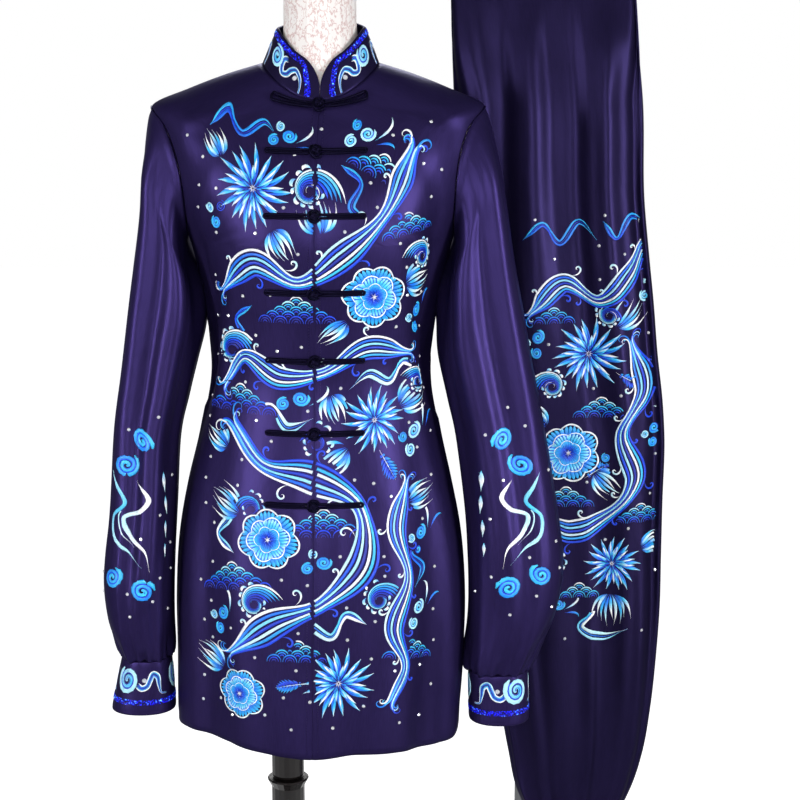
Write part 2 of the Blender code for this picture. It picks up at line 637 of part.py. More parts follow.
def frog(tree, number, z):
    """One knotted frog: a strap with the knot on the right front, a strap with the loop on the left."""
    x = opening_x(z)
    lift = FROG_CORD + REST_GAP + FROG_LIFT
    near = FROG_KNOT + FROG_CORD + REST_GAP + 0.0003
    crossing = 2 * FROG_CORD + REST_GAP
    runs = [FROG_REACH * t for t in (0.96, 0.62, 0.30)]
    tip = FROG_REACH + 0.0008

    def at(across, down, more=0.0):
        return on_front(tree, x + across, z + down, lift + more)

    strap = [at(0.0004 - near, -FROG_SPREAD)]
    strap += [at(-r, -FROG_SPREAD) for r in runs[::-1]]
    strap += [at(-tip, -FROG_SPREAD * 0.7), at(-tip, FROG_SPREAD * 0.7)]
    strap += [at(-r, FROG_SPREAD) for r in runs]
    strap += [at(0.0004 - near, FROG_SPREAD)]
    tube(f"frog_{number}_strap", strap, FROG_CORD, "trim", sides=1)

    mesh = bpy.data.meshes.new(f"frog_{number}_knot")
    form = bmesh.new()
    bmesh.ops.create_icosphere(form, subdivisions=2, radius=FROG_KNOT)
    form.to_mesh(mesh)
    form.free()
    mesh.shade_smooth()
    knot = add_object(f"frog_{number}_knot", mesh, "trim")
    knot.location = on_front(tree, x, z, FROG_KNOT + REST_GAP + FROG_LIFT)

    ring = []
    for turn in (-40, -90, -140, -180, -220, -270, -320):
        a = math.radians(turn)
        over = crossing * float(smooth_step(0.25, 0.9, -math.cos(a)))
        ring.append(at(near * math.cos(a), near * math.sin(a), over))
    loop = [at(r, -FROG_SPREAD) for r in runs] + ring + [at(r, FROG_SPREAD) for r in runs[::-1]]
    tube(f"frog_{number}_loop", loop, FROG_CORD, "trim", sides=1)


def trouser_section(z):
    table = TROUSERS[::-1]
    return [curve_through(column(table, "z"), column(table, n), z) for n in Drop._fields[1:]]


def leg_fold_height(turn, z, phase):
    total = np.zeros(turn.shape)
    for fold in LEG_FOLDS:
        away = (turn - fold.turn - phase + 180.0) % 360.0 - 180.0
        ends = smooth_step(fold.low_z - 0.10, fold.low_z + 0.10, z)
        ends = ends * (1 - smooth_step(fold.top_z - 0.06, fold.top_z + 0.06, z) * 0.6)
        total = total + fold.depth * ends * np.exp(-((away / fold.width) ** 2))
    return total * (1 - smooth_step(1.33, 1.40, z) * 0.5)


def rounding(turn, power):
    """Sine and cosine of a rounded oval's point."""
    sine, cosine = np.sin(np.radians(turn)), np.cos(np.radians(turn))
    grow = (np.abs(cosine) ** power + np.abs(sine) ** power) ** (-1 / power)
    return sine * grow, cosine * grow


def leg_points(side, share, z):
    """A leg's outer face. side -1 is the near (left) leg, +1 the far one. share runs from 0 at the
    front's edge, outside round the side seam and back inside to 1 at the back's edge. Above the
    crotch these edges are the two seat seams, below it they meet in the inseam."""
    fold_x, side_x, half_thick = trouser_section(z)
    closed = 1 - smooth_step(FORK_LOW_Z, FORK_HIGH_Z, z)
    end = SEAT_TURN + (269.6 - SEAT_TURN) * closed
    first = -90.0 + 0.4 * closed
    outer = share <= 0.5
    turn = np.where(outer, first + (90.0 - first) * share * 2, 90.0 + (end - 90.0) * (share - 0.5) * 2)
    power = 2.5 + (BAND_POWER - 2.5) * smooth_step(1.28, 1.40, z)
    across, out = rounding(turn, power)
    x = (fold_x + side_x) / 2 + (side_x - fold_x) / 2 * across
    thick = half_thick - LEG_GAP
    tube = LEG_GAP + thick / 2 * (1 + out)
    wrapped = LEG_GAP + thick * out
    seated = np.where(turn < 0, wrapped, np.where(turn > 180, LEG_GAP, tube))
    away = seated + (tube - seated) * closed
    outside = 1 - smooth_step(70.0, 110.0, np.abs(turn))
    gathers = (1 - smooth_step(0.415, 0.50, z)) * 0.0030 * np.cos(np.radians(turn * ANKLE_GATHERS))
    pleats = smooth_step(1.30, 1.40, z) * 0.0012 * np.cos(np.radians(turn * 15.0))
    away = away + (leg_fold_height(turn, z, 0.0 if side < 0 else 11.0) + gathers + pleats) * outside
    edge = (1 - closed) * np.maximum(1 - np.minimum(share, 1 - share) / 0.03, 0.0)
    away = away + (SEAM_GAP / 2 - away) * np.clip(edge, 0.0, 1.0)
    return np.stack([TORSO_X + x, TROUSER_Y + side * away, np.full(turn.shape, z)], axis=-1)


def leg(name, side, columns, rows):
    """One trouser leg, joined to the other by the seat seams above the crotch."""
    share = np.linspace(0.0, 1.0, columns + 1)
    high = np.linspace(1.4015, FORK_HIGH_Z + 0.01, rows[0] + 1)[:-1]
    fork = np.linspace(FORK_HIGH_Z + 0.01, FORK_LOW_Z - 0.005, rows[1] + 1)[:-1]
    low = np.linspace(FORK_LOW_Z - 0.005, 0.407, rows[2])
    grid = [leg_points(side, share, z) for z in np.concatenate([high, fork, low])]
    return cloth(name, np.array(grid), "satin", CLOTH, flip=side < 0)


def waistband():
    """The elastic waistband: one loop, folded in two like the trousers under it."""
    fold_x, side_x, _ = trouser_section(1.402)
    middle, half = (fold_x + side_x) / 2, (side_x - fold_x) / 2
    thick = BAND_HALF_THICK - LEG_GAP
    near = []
    for turn in np.concatenate([np.linspace(-90.0, 90.0, 15), np.linspace(112.0, SEAT_TURN, 7)]):
        across, out = rounding(turn, BAND_POWER)
        away = LEG_GAP + (thick * out if turn < 0 else thick / 2 * (1 + out))
        if turn > 180:
            away = LEG_GAP
        near.append((TORSO_X + middle + half * across, away))
    near[0] = (near[0][0], 0.0)
    near.append((near[-1][0] - 0.0012, 0.0))
    loop = [(x, TROUSER_Y - away) for x, away in near]
    loop += [(x, TROUSER_Y + away) for x, away in near[-2:0:-1]]
    rows = [[(x, y, z) for x, y in loop] for z in (1.4021, 1.402 + WAISTBAND_HEIGHT)]
    return cloth("waistband", np.array(rows), "satin", CLOTH, wrap=True)


def ankle_band(name, side):
    """An elastic ankle band under a leg."""
    fold_x, side_x, half_thick = trouser_section(0.407)
    y = TROUSER_Y + side * (LEG_GAP + half_thick) / 2
    half, deep = (side_x - fold_x) / 2 - 0.0006, (half_thick - LEG_GAP) / 2 - 0.0006
    rows = [
        oval(TORSO_X + (fold_x + side_x) / 2, y, z, half, deep, 20, power=2.5)
        for z in (0.4065, 0.4065 - ANKLE_HEIGHT)
    ]
    return cloth(name, np.array(rows), "satin", STIFF_CLOTH, wrap=True)


def hanger():
    """A plain clip hanger: a bar, two clips on it and a wire hook."""
    middle = TORSO_X + RAIL_X
    reach = HANGER_HALF_LENGTH
    tube(
        "hanger_bar",
        [(middle - reach, TROUSER_Y, HANGER_Z), (middle + reach, TROUSER_Y, HANGER_Z)],
        HANGER_BAR,
        "steel",
        sides=2,
    )
    for name, side in (("clip_front", -1), ("clip_back", 1)):
        clip(name, middle + side * CLIP_X)
    stem = [(middle, TROUSER_Y, HANGER_Z + HANGER_BAR + REST_GAP)]
    top = RAIL_Z + 2 * REST_GAP + HOOK_WIRE - HOOK_BEND
    stem.append((middle, TROUSER_Y, top - HOOK_BEND - 0.012))
    for step in range(11):
        turn = math.radians(-70 + step * 25)
        bend_x = middle - HOOK_BEND * math.cos(turn) * -1
        stem.append((bend_x, TROUSER_Y, top + HOOK_BEND * math.sin(turn)))
    tube("hanger_hook", stem, HOOK_WIRE, "steel", sides=1)


def clip(name, x):
    """One clip: a folded plate with an eye round the bar and two jaws over the waistband."""
    inner = BAND_HALF_THICK + REST_GAP
    outer = inner + CLIP_PLATE
    eye = HANGER_BAR + 2 * REST_GAP
    shoulder = -0.012
    outline = [
        (-outer, -CLIP_REACH),
        (-inner, -CLIP_REACH),
        (-inner, shoulder - CLIP_PLATE),
        (inner, shoulder - CLIP_PLATE),
        (inner, -CLIP_REACH),
        (outer, -CLIP_REACH),
        (outer, shoulder),
        (0.0085, 0.004),
        (0.0050, 0.0085),
        (-0.0050, 0.0085),
        (-0.0085, 0.004),
        (-outer, shoulder),
    ]
    data = bpy.data.curves.new(name, "CURVE")
    data.dimensions = "2D"
    data.fill_mode = "BOTH"
    data.extrude = CLIP_WIDTH / 2
    hole = [
        (eye * math.cos(math.radians(a)), eye * math.sin(math.radians(a)))
        for a in range(360, 0, -36)
    ]
    for loop in (outline, hole):
        line = data.splines.new("POLY")
        line.points.add(len(loop) - 1)
        for i, (u, v) in enumerate(loop):
            line.points[i].co = (u, v, 0.0, 1.0)
        line.use_cyclic_u = True
    obj = add_object(name, data, "clip")
    turn = Matrix(((0, 0, 1), (1, 0, 0), (0, 1, 0))).to_4x4()
    obj.matrix_world = Matrix.Translation(Vector((x, TROUSER_Y, HANGER_Z))) @ turn
    return obj


def trouser_stand():
    """The plain floor stand that carries the hanger, behind the trousers."""
    x = TORSO_X + RAIL_X
    turned(
        "trouser_stand_base",
        [(0.0, 0.016), (0.030, 0.016), (STAND_BASE - 0.006, 0.010), (STAND_BASE, 0.006),
         (STAND_BASE, 0.0), (0.0, 0.0)],
        "stand", x, STAND_Y, 24,
    )
    turned(
        "trouser_stand_pole",
        [(0.0, STAND_TOP_Z), (STAND_POLE * 0.7, STAND_TOP_Z), (STAND_POLE, STAND_TOP_Z - 0.004),
         (STAND_POLE, 0.0163), (0.0, 0.0163)],
        "stand", x, STAND_Y, 16,
    )
    arm_z = RAIL_Z - RAIL_RADIUS
    tube(
        "trouser_stand_arm",
        [(x, STAND_Y - STAND_POLE - REST_GAP, arm_z), (x, TROUSER_Y, arm_z),
         (x, TROUSER_Y - 0.020, arm_z), (x, TROUSER_Y - 0.032, arm_z + 0.012)],
        RAIL_RADIUS, "stand", sides=2,
    )


def dress_form():
    """The limbless form: torso and neck in one, flat below and on top."""
    angle = np.arange(20) * 18.0
    rings = []
    levels = np.concatenate([
        np.linspace(FORM_BOTTOM_UP, ARMPIT_UP, 9),
        np.linspace(ARMPIT_UP, SHOULDER_UP, 6)[1:],
        (0.865, 0.905, 0.945),
    ])
    for up in levels:
        ease = FORM_EASE + (SHOULDER_EASE - FORM_EASE) * smooth_step(0.70, 0.83, up)
        level = np.full(angle.shape, up)
        normal = normals_of(body_surface, angle, level, 0.5, 0.002)
        ring = body_surface(angle, level) - normal * ease
        if up == FORM_BOTTOM_UP:
            ring[:, 2] = ring[:, 2].mean()
        rings.append(ring)
    root = body_surface(angle, np.ones(angle.shape))
    centre = np.array([NECK_X, -0.004, 0.0])
    rings.append(centre + (root - centre) * (0.83, 0.83, 1.0) - (0.0, 0.0, 0.003))
    for z, half_width, depth, y in (
        (1.352, 0.0400, 0.0405, -0.003),
        (1.375, NECK_HALF_WIDTH, 0.0400, -0.002),
        (1.405, NECK_HALF_WIDTH, 0.0405, -0.001),
        (NECK_TOP_Z - 0.004, NECK_HALF_WIDTH + 0.0010, 0.0410, 0.0),
        (NECK_TOP_Z, NECK_HALF_WIDTH - 0.0020, 0.0380, 0.0),
    ):
        rings.append(np.stack([
            NECK_X + half_width * np.sin(np.radians(angle)),
            y - depth * np.cos(np.radians(angle)),
            np.full(angle.shape, z),
        ], axis=1))
    loft("dress_form", rings, "form")


def form_stand():
    """The form's neck cap, and its turned black stand in two lengths on a round base."""
    turned(
        "neck_cap",
        [(0.0, 1.452), (0.020, 1.450), (0.034, 1.443), (0.038, 1.4365), (0.038, 1.4323), (0.0, 1.4323)],
        "black", NECK_X, 0.0, 20,
    )
    form_bottom = float(curve_through(column(BODY, "up"), column(BODY, "front_z"), FORM_BOTTOM_UP))
    turned(
        "pole_upper",
        [(0.0, form_bottom - REST_GAP), (POLE_RADIUS, form_bottom - REST_GAP),
         (POLE_RADIUS, POLE_JOINT_Z + 0.005), (POLE_RADIUS * 0.96, POLE_JOINT_Z + 0.0025),
         (POLE_RADIUS * 0.80, POLE_JOINT_Z + 0.0008), (0.0, POLE_JOINT_Z + 0.0008)],
        "black", 0.0, 0.0, 18,
    )
    turned(
        "pole_lower",
        [(0.0, POLE_JOINT_Z), (SOCKET_LIP * 0.93, POLE_JOINT_Z), (SOCKET_LIP, POLE_JOINT_Z - 0.0015),
         (SOCKET_LIP * 0.92, POLE_JOINT_Z - 0.0050), (POLE_RADIUS * 1.03, POLE_JOINT_Z - 0.0105),
         (POLE_RADIUS * 1.02, 0.060), (0.024, 0.054), (0.028, 0.046), (0.030, 0.0303), (0.0, 0.0303)],
        "black", 0.0, 0.0, 18,
    )
    turned(
        "form_base",
        [(0.0, 0.030), (0.060, 0.0285), (0.120, 0.0235), (FORM_BASE - 0.020, 0.0165),
         (FORM_BASE, 0.009), (FORM_BASE, 0.0), (0.0, 0.0)],
        "black", 0.0, 0.0, 32,
    )


def main():
    clear_scene()
    fronts = front_tree([front_panel("front_right", -1), front_panel("front_left", 1)])
    back_panel()
    sleeve("sleeve_right", -1)
    sleeve("sleeve_left", 1)
    cuff("cuff_right", -1, RIGHT_CUFF)
    cuff("cuff_left", 1, LEFT_CUFF)
    collar()
    for number, z in enumerate(FROG_Z, 1):
        frog(fronts, number, z)
    leg("leg_left", -1, 28, (4, 4, 11))
    leg("leg_right", 1, 20, (3, 4, 8))
    waistband()
    ankle_band("ankle_band_left", -1)
    ankle_band("ankle_band_right", 1)
    hanger()
    trouser_stand()
    dress_form()
    form_stand()


main()
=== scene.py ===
"""Looks of the tai chi uniform: embroidered satin jacket on its dress form, trousers behind it.

Every cloth piece is rebuilt finely on the form of its CAD solid, with its creases, sewing,
embroidery, sequins and stones. Metres, +Z up, the front faces -Y.
"""

import math
from collections import namedtuple

import bmesh
import bpy
import numpy as np
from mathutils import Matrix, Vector


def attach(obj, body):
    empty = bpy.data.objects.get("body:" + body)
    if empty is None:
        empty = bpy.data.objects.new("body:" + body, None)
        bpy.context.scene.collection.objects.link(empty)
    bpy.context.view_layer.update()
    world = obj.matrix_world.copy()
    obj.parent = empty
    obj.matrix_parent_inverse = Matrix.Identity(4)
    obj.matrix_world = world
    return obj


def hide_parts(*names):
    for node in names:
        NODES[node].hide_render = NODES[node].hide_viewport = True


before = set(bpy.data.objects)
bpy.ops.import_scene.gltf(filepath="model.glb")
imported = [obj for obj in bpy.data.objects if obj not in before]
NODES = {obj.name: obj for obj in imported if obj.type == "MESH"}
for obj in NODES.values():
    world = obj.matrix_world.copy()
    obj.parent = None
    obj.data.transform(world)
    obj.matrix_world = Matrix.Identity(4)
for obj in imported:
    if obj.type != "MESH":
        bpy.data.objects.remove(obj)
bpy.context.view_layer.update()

# The jacket's two sides along x, by the wearer's hands
SIDES = ((-1, "right"), (1, "left"))

# Sizes of the cloth pieces, as in the CAD source. The walls here are 0.2 mm thinner.
CLOTH = 0.0010
STIFF_CLOTH = 0.0018
SEAM_GAP = 0.0006
TORSO_X = 0.040
Level = namedtuple("Level", "up front_z side_z back_z half_width front_y back_y centre_x")
BODY = (
    Level(-0.020, 0.582, 0.582, 0.582, 0.160, -0.122, 0.115, -0.004),
    Level(0.035, 0.631, 0.631, 0.631, 0.161, -0.122, 0.115, -0.003),
    Level(0.090, 0.680, 0.680, 0.680, 0.162, -0.121, 0.116, -0.001),
    Level(0.165, 0.745, 0.745, 0.745, 0.1625, -0.119, 0.116, 0.000),
    Level(0.250, 0.820, 0.820, 0.820, 0.157, -0.113, 0.108, 0.000),
    Level(0.320, 0.880, 0.880, 0.880, 0.1455, -0.106, 0.096, 0.000),
    Level(0.385, 0.937, 0.937, 0.937, 0.131, -0.099, 0.083, 0.001),
    Level(0.465, 1.010, 1.010, 1.010, 0.118, -0.095, 0.074, 0.002),
    Level(0.520, 1.060, 1.060, 1.060, 0.121, -0.103, 0.078, 0.003),
    Level(0.570, 1.105, 1.105, 1.105, 0.130, -0.114, 0.084, 0.004),
    Level(0.620, 1.150, 1.150, 1.150, 0.143, -0.121, 0.090, 0.004),
    Level(0.675, 1.195, 1.195, 1.195, 0.160, -0.117, 0.095, 0.004),
    Level(0.730, 1.228, 1.240, 1.240, 0.172, -0.104, 0.094, 0.003),
    Level(0.780, 1.252, 1.270, 1.275, 0.177, -0.091, 0.086, 0.002),
    Level(0.830, 1.268, 1.288, 1.298, 0.177, -0.081, 0.076, 0.002),
    Level(0.890, 1.279, 1.305, 1.314, 0.140, -0.074, 0.068, 0.003),
    Level(0.945, 1.288, 1.320, 1.328, 0.101, -0.067, 0.060, 0.004),
    Level(1.000, 1.296, 1.332, 1.338, 0.062, -0.060, 0.050, 0.005),
)
ARMPIT_UP = 0.620
SHOULDER_UP = 0.830
ARMHOLE_FRONT = 30.0
ARMHOLE_BACK = 25.0
OPENING_HEM_X = -0.006
OPENING_NECK_X = 0.006
VENT_UP = 0.135
VENT_ANGLE = 2.2
HEM_CORNER = 0.008
OPENING_DROP = 0.0075
HEM_REACH = 0.3
EDGE_ROLL = 0.0006
NORMAL_UPS = (-0.017, 0.996)
RIGHT_HEM_RISE = 0.009
LEFT_HEM_RISE = -0.013

# A soft fold: a ridge (depth > 0) or trough from its low end to its high end. It fades out
# beyond its ends, from an end share of its depth at the high one.
FOLD_FADE = 0.05
FOLD_END = 0.25
Fold = namedtuple("Fold", "low_angle low_up high_angle high_up width depth")
BODY_FOLDS = (
    Fold(-76, 0.48, -54, 0.69, 8.0, -0.0055),
    Fold(-62, 0.45, -38, 0.62, 8.0, 0.0040),
    Fold(74, 0.48, 54, 0.68, 8.0, -0.0055),
    Fold(60, 0.44, 38, 0.61, 8.0, 0.0038),
    Fold(-66, 0.00, -62, 0.40, 9.0, 0.0050),
    Fold(-46, 0.00, -50, 0.33, 9.0, -0.0050),
    Fold(-24, 0.00, -30, 0.24, 9.0, 0.0035),
    Fold(27, 0.00, 34, 0.30, 9.0, 0.0045),
    Fold(48, 0.00, 52, 0.36, 9.0, -0.0050),
    Fold(68, 0.02, 64, 0.42, 9.0, 0.0045),
    Fold(118, 0.00, 124, 0.38, 9.0, 0.0045),
    Fold(142, 0.00, 140, 0.33, 10.0, -0.0050),
    Fold(168, 0.00, 164, 0.26, 10.0, 0.0035),
    Fold(-164, 0.00, -160, 0.30, 10.0, -0.0040),
    Fold(-140, 0.00, -143, 0.34, 9.0, 0.0050),
    Fold(-118, 0.02, -122, 0.38, 9.0, -0.0045),
    Fold(110, 0.46, 132, 0.68, 9.0, -0.0050),
    Fold(-110, 0.46, -132, 0.68, 9.0, -0.0050),
)
# Finer creases of the worn jacket: at the waist, from the armpits, round the shoulders, at the hem
BODY_CREASES = (
    Fold(-86, 0.505, -50, 0.545, 4.5, -0.0022),
    Fold(-84, 0.470, -40, 0.492, 4.0, 0.0016),
    Fold(-80, 0.445, -46, 0.455, 4.0, -0.0018),
    Fold(-88, 0.410, -56, 0.430, 4.5, 0.0017),
    Fold(84, 0.500, 46, 0.535, 4.5, -0.0022),
    Fold(86, 0.468, 42, 0.480, 4.0, 0.0017),
    Fold(82, 0.440, 52, 0.447, 4.0, -0.0016),
    Fold(88, 0.395, 60, 0.425, 4.5, 0.0015),
    Fold(-70, 0.560, -42, 0.660, 4.5, 0.0017),
    Fold(-66, 0.605, -30, 0.640, 4.0, -0.0013),
    Fold(-58, 0.640, -34, 0.740, 5.0, 0.0015),
    Fold(66, 0.555, 40, 0.655, 4.5, 0.0018),
    Fold(62, 0.612, 28, 0.648, 4.0, -0.0012),
    Fold(56, 0.650, 36, 0.750, 5.0, -0.0014),
    Fold(-52, 0.780, -34, 0.900, 6.0, 0.0014),
    Fold(-40, 0.800, -20, 0.930, 5.0, -0.0010),
    Fold(54, 0.785, 36, 0.905, 6.0, -0.0014),
    Fold(38, 0.810, 22, 0.925, 5.0, 0.0010),
    Fold(-8, 0.300, -6, 0.560, 3.6, 0.0009),
    Fold(9, 0.260, 6, 0.520, 3.6, -0.0009),
    Fold(-56, 0.000, -55, 0.170, 4.5, 0.0022),
    Fold(-36, 0.000, -40, 0.200, 4.5, -0.0018),
    Fold(-14, 0.000, -17, 0.130, 4.0, 0.0014),
    Fold(14, 0.000, 18, 0.150, 4.0, -0.0014),
    Fold(38, 0.000, 42, 0.190, 4.5, 0.0020),
    Fold(60, 0.000, 58, 0.210, 4.5, -0.0020),
    Fold(78, 0.060, 74, 0.260, 4.5, 0.0018),
    Fold(-80, 0.060, -76, 0.270, 4.5, -0.0016),
    Fold(104, 0.420, 140, 0.470, 5.0, 0.0020),
    Fold(98, 0.480, 150, 0.520, 4.5, -0.0018),
    Fold(-102, 0.430, -146, 0.475, 5.0, -0.0019),
    Fold(-98, 0.500, -138, 0.545, 4.5, 0.0018),
    Fold(128, 0.600, 112, 0.760, 6.0, 0.0019),
    Fold(-126, 0.610, -114, 0.770, 6.0, -0.0018),
    Fold(152, 0.560, 140, 0.800, 6.0, -0.0012),
    Fold(-154, 0.580, -142, 0.790, 6.0, 0.0012),
    Fold(130, 0.000, 134, 0.180, 5.0, -0.0020),
    Fold(154, 0.000, 152, 0.160, 5.0, 0.0018),
    Fold(-178, 0.000, -176, 0.200, 5.0, 0.0014),
    Fold(-151, 0.000, -152, 0.170, 5.0, -0.0018),
    Fold(-128, 0.000, -132, 0.210, 5.0, 0.0020),
    Fold(-91, 0.500, -92, 0.610, 10.0, 0.0044),
    Fold(91, 0.500, 92, 0.610, 10.0, 0.0044),
)

Ring = namedtuple("Ring", "outer_x outer_z inner_x inner_z half_depth middle_y")
RIGHT_SLEEVE = (
    Ring(0.1835, 1.264, 0.1412, 1.1330, 0.056, 0.002),
    Ring(0.1855, 1.226, 0.1338, 1.1100, 0.058, 0.000),
    Ring(0.1890, 1.180, 0.1262, 1.0850, 0.058, -0.002),
    Ring(0.1964, 1.125, 0.1262, 1.0500, 0.057, -0.004),
    Ring(0.2041, 1.070, 0.1345, 1.0110, 0.056, -0.006),
    Ring(0.2126, 1.006, 0.1440, 0.9720, 0.055, -0.009),
    Ring(0.2220, 0.943, 0.1535, 0.9280, 0.054, -0.013),
    Ring(0.2290, 0.860, 0.1575, 0.8550, 0.054, -0.019),
    Ring(0.2367, 0.798, 0.1605, 0.7980, 0.053, -0.026),
    Ring(0.2385, 0.764, 0.1620, 0.7640, 0.052, -0.029),
    Ring(0.2349, 0.726, 0.1630, 0.7260, 0.047, -0.031),
    Ring(0.2269, 0.700, 0.1645, 0.7000, 0.039, -0.032),
    Ring(0.2215, 0.683, 0.1662, 0.6830, 0.030, -0.032),
)
LEFT_SLEEVE = (
    Ring(0.1880, 1.266, 0.1471, 1.1330, 0.056, 0.002),
    Ring(0.1955, 1.230, 0.1400, 1.1100, 0.058, 0.000),
    Ring(0.2039, 1.183, 0.1325, 1.0850, 0.058, -0.001),
    Ring(0.2123, 1.127, 0.1316, 1.0500, 0.056, -0.003),
    Ring(0.2217, 1.076, 0.1318, 1.0160, 0.054, -0.005),
    Ring(0.2334, 1.013, 0.1413, 0.9700, 0.052, -0.008),
    Ring(0.2481, 0.937, 0.1507, 0.9280, 0.050, -0.011),
    Ring(0.2626, 0.854, 0.1608, 0.8500, 0.049, -0.016),
    Ring(0.2702, 0.796, 0.1640, 0.7960, 0.048, -0.020),
    Ring(0.2680, 0.757, 0.1652, 0.7550, 0.047, -0.022),
    Ring(0.2589, 0.721, 0.1645, 0.7160, 0.044, -0.024),
    Ring(0.2460, 0.694, 0.1608, 0.6740, 0.038, -0.025),
    Ring(0.2332, 0.664, 0.1650, 0.6640, 0.031, -0.025),
)
SLEEVE_POWER = 2.4
SLEEVE_SET = 0.0017
CUFF_GATHERS = 6
GATHER_DEPTH = 0.0030
FINE_GATHER_DEPTH = 0.0017
SleeveFold = namedtuple("SleeveFold", "turn top bottom width depth")
SLEEVE_FOLDS = (
    SleeveFold(48, 0.06, 0.62, 15, 0.0055),
    SleeveFold(80, 0.10, 0.84, 15, -0.0065),
    SleeveFold(114, 0.20, 0.78, 15, 0.0050),
    SleeveFold(148, 0.12, 0.60, 15, -0.0045),
    SleeveFold(222, 0.16, 0.70, 16, -0.0050),
    SleeveFold(258, 0.10, 0.84, 15, 0.0055),
    SleeveFold(300, 0.14, 0.66, 16, -0.0055),
)
SLEEVE_CREASES = (
    SleeveFold(20, 0.05, 0.40, 7, -0.0018),
    SleeveFold(34, 0.22, 0.74, 6, 0.0016),
    SleeveFold(62, 0.06, 0.46, 6, -0.0014),
    SleeveFold(66, 0.50, 0.88, 6, 0.0018),
    SleeveFold(96, 0.30, 0.70, 6, 0.0013),
    SleeveFold(104, 0.62, 0.92, 5, -0.0018),
    SleeveFold(130, 0.10, 0.52, 6, -0.0016),
    SleeveFold(134, 0.60, 0.90, 6, 0.0017),
    SleeveFold(166, 0.20, 0.72, 7, 0.0016),
    SleeveFold(196, 0.10, 0.60, 8, 0.0018),
    SleeveFold(238, 0.30, 0.80, 7, 0.0016),
    SleeveFold(276, 0.16, 0.60, 7, -0.0015),
    SleeveFold(284, 0.60, 0.92, 6, 0.0018),
    SleeveFold(318, 0.20, 0.70, 7, 0.0016),
    SleeveFold(342, 0.08, 0.54, 7, -0.0015),
    SleeveFold(180, 0.05, 0.34, 24, 0.0050),
    SleeveFold(74, 0.76, 0.95, 5, -0.0030),
    SleeveFold(92, 0.78, 0.95, 5, 0.0026),
    SleeveFold(118, 0.74, 0.95, 5, -0.0030),
)
Cuff = namedtuple("Cuff", "y top_x top_width top_depth top_z low_x low_width low_depth low_z")
RIGHT_CUFF = Cuff(-0.032, 0.1938, 0.0276, 0.0290, 0.6826, 0.1988, 0.0360, 0.0330, 0.6215)
LEFT_CUFF = Cuff(-0.025, 0.1991, 0.0335, 0.0300, 0.6636, 0.2006, 0.0341, 0.0330, 0.6060)
CUFF_POWER = 2.2

COLLAR_HEIGHT = 0.041
COLLAR_RISE = 0.040
COLLAR_TOP_X = 0.006
COLLAR_TOP_HALF_WIDTH = 0.0455
COLLAR_TOP_FRONT_Y = -0.048
COLLAR_TOP_BACK_Y = 0.047
COLLAR_CORNER = 24.0
COLLAR_END_SHARE = 0.26
COLLAR_FOOT = 0.012
COLLAR_RADIUS = 0.0565
COLLAR_END_RADIUS = 0.062

FROG_Z = (1.2900, 1.2445, 1.1815, 1.1020, 1.0275, 0.9495, 0.8735)
FROG_REACH = 0.050
NECK_SEAM_Z = 1.2935
FROG_CORD = 0.0015
FROG_KNOT = 0.0050
KNOT_CORD = 0.0013
FROG_SPREAD = 0.0018

TROUSER_Y = 0.127
TROUSER_TOP_Z = 1.402
TROUSER_LOW_Z = 0.407
Drop = namedtuple("Drop", "z fold_x side_x half_thick")
TROUSERS = (
    Drop(1.402, 0.1470, 0.3524, 0.0095),
    Drop(1.342, 0.1480, 0.3570, 0.0220),
    Drop(1.287, 0.1501, 0.3626, 0.0310),
    Drop(1.174, 0.1531, 0.3672, 0.036),
    Drop(1.115, 0.1547, 0.3738, 0.037),
    Drop(1.057, 0.1572, 0.3809, 0.038),
    Drop(0.998, 0.1613, 0.3870, 0.038),
    Drop(0.940, 0.1653, 0.3946, 0.039),
    Drop(0.901, 0.1684, 0.3977, 0.039),
    Drop(0.818, 0.1755, 0.3976, 0.040),
    Drop(0.757, 0.1816, 0.3978, 0.041),
    Drop(0.694, 0.1883, 0.3980, 0.042),
    Drop(0.632, 0.1984, 0.3953, 0.043),
    Drop(0.567, 0.2095, 0.3903, 0.043),
    Drop(0.510, 0.2200, 0.3825, 0.042),
    Drop(0.460, 0.2310, 0.3690, 0.039),
    Drop(0.425, 0.2470, 0.3540, 0.035),
    Drop(0.407, 0.2570, 0.3450, 0.032),
)
LEG_GAP = 0.0018
LEG_POWER = 2.5
SLIT_TURN = 0.4
FORK_HIGH_Z = 1.120
FORK_LOW_Z = 1.045
SEAT_TURN = 238.0
ANKLE_GATHERS = 7
ANKLE_GATHER_Z = 0.50
LegFold = namedtuple("LegFold", "turn top_z low_z width depth")
LEG_FOLDS = (
    LegFold(-52, 1.40, 1.02, 9, 0.0060),
    LegFold(-30, 1.40, 0.86, 9, -0.0070),
    LegFold(-10, 1.39, 1.05, 8, 0.0050),
    LegFold(12, 1.40, 0.95, 9, -0.0055),
    LegFold(33, 1.40, 0.80, 10, 0.0070),
    LegFold(58, 1.37, 0.62, 9, -0.0065),
    LegFold(-48, 0.80, 0.44, 10, -0.0055),
    LegFold(-14, 0.74, 0.44, 9, 0.0055),
    LegFold(20, 0.80, 0.44, 9, -0.0060),
    LegFold(46, 0.70, 0.44, 9, 0.0055),
)
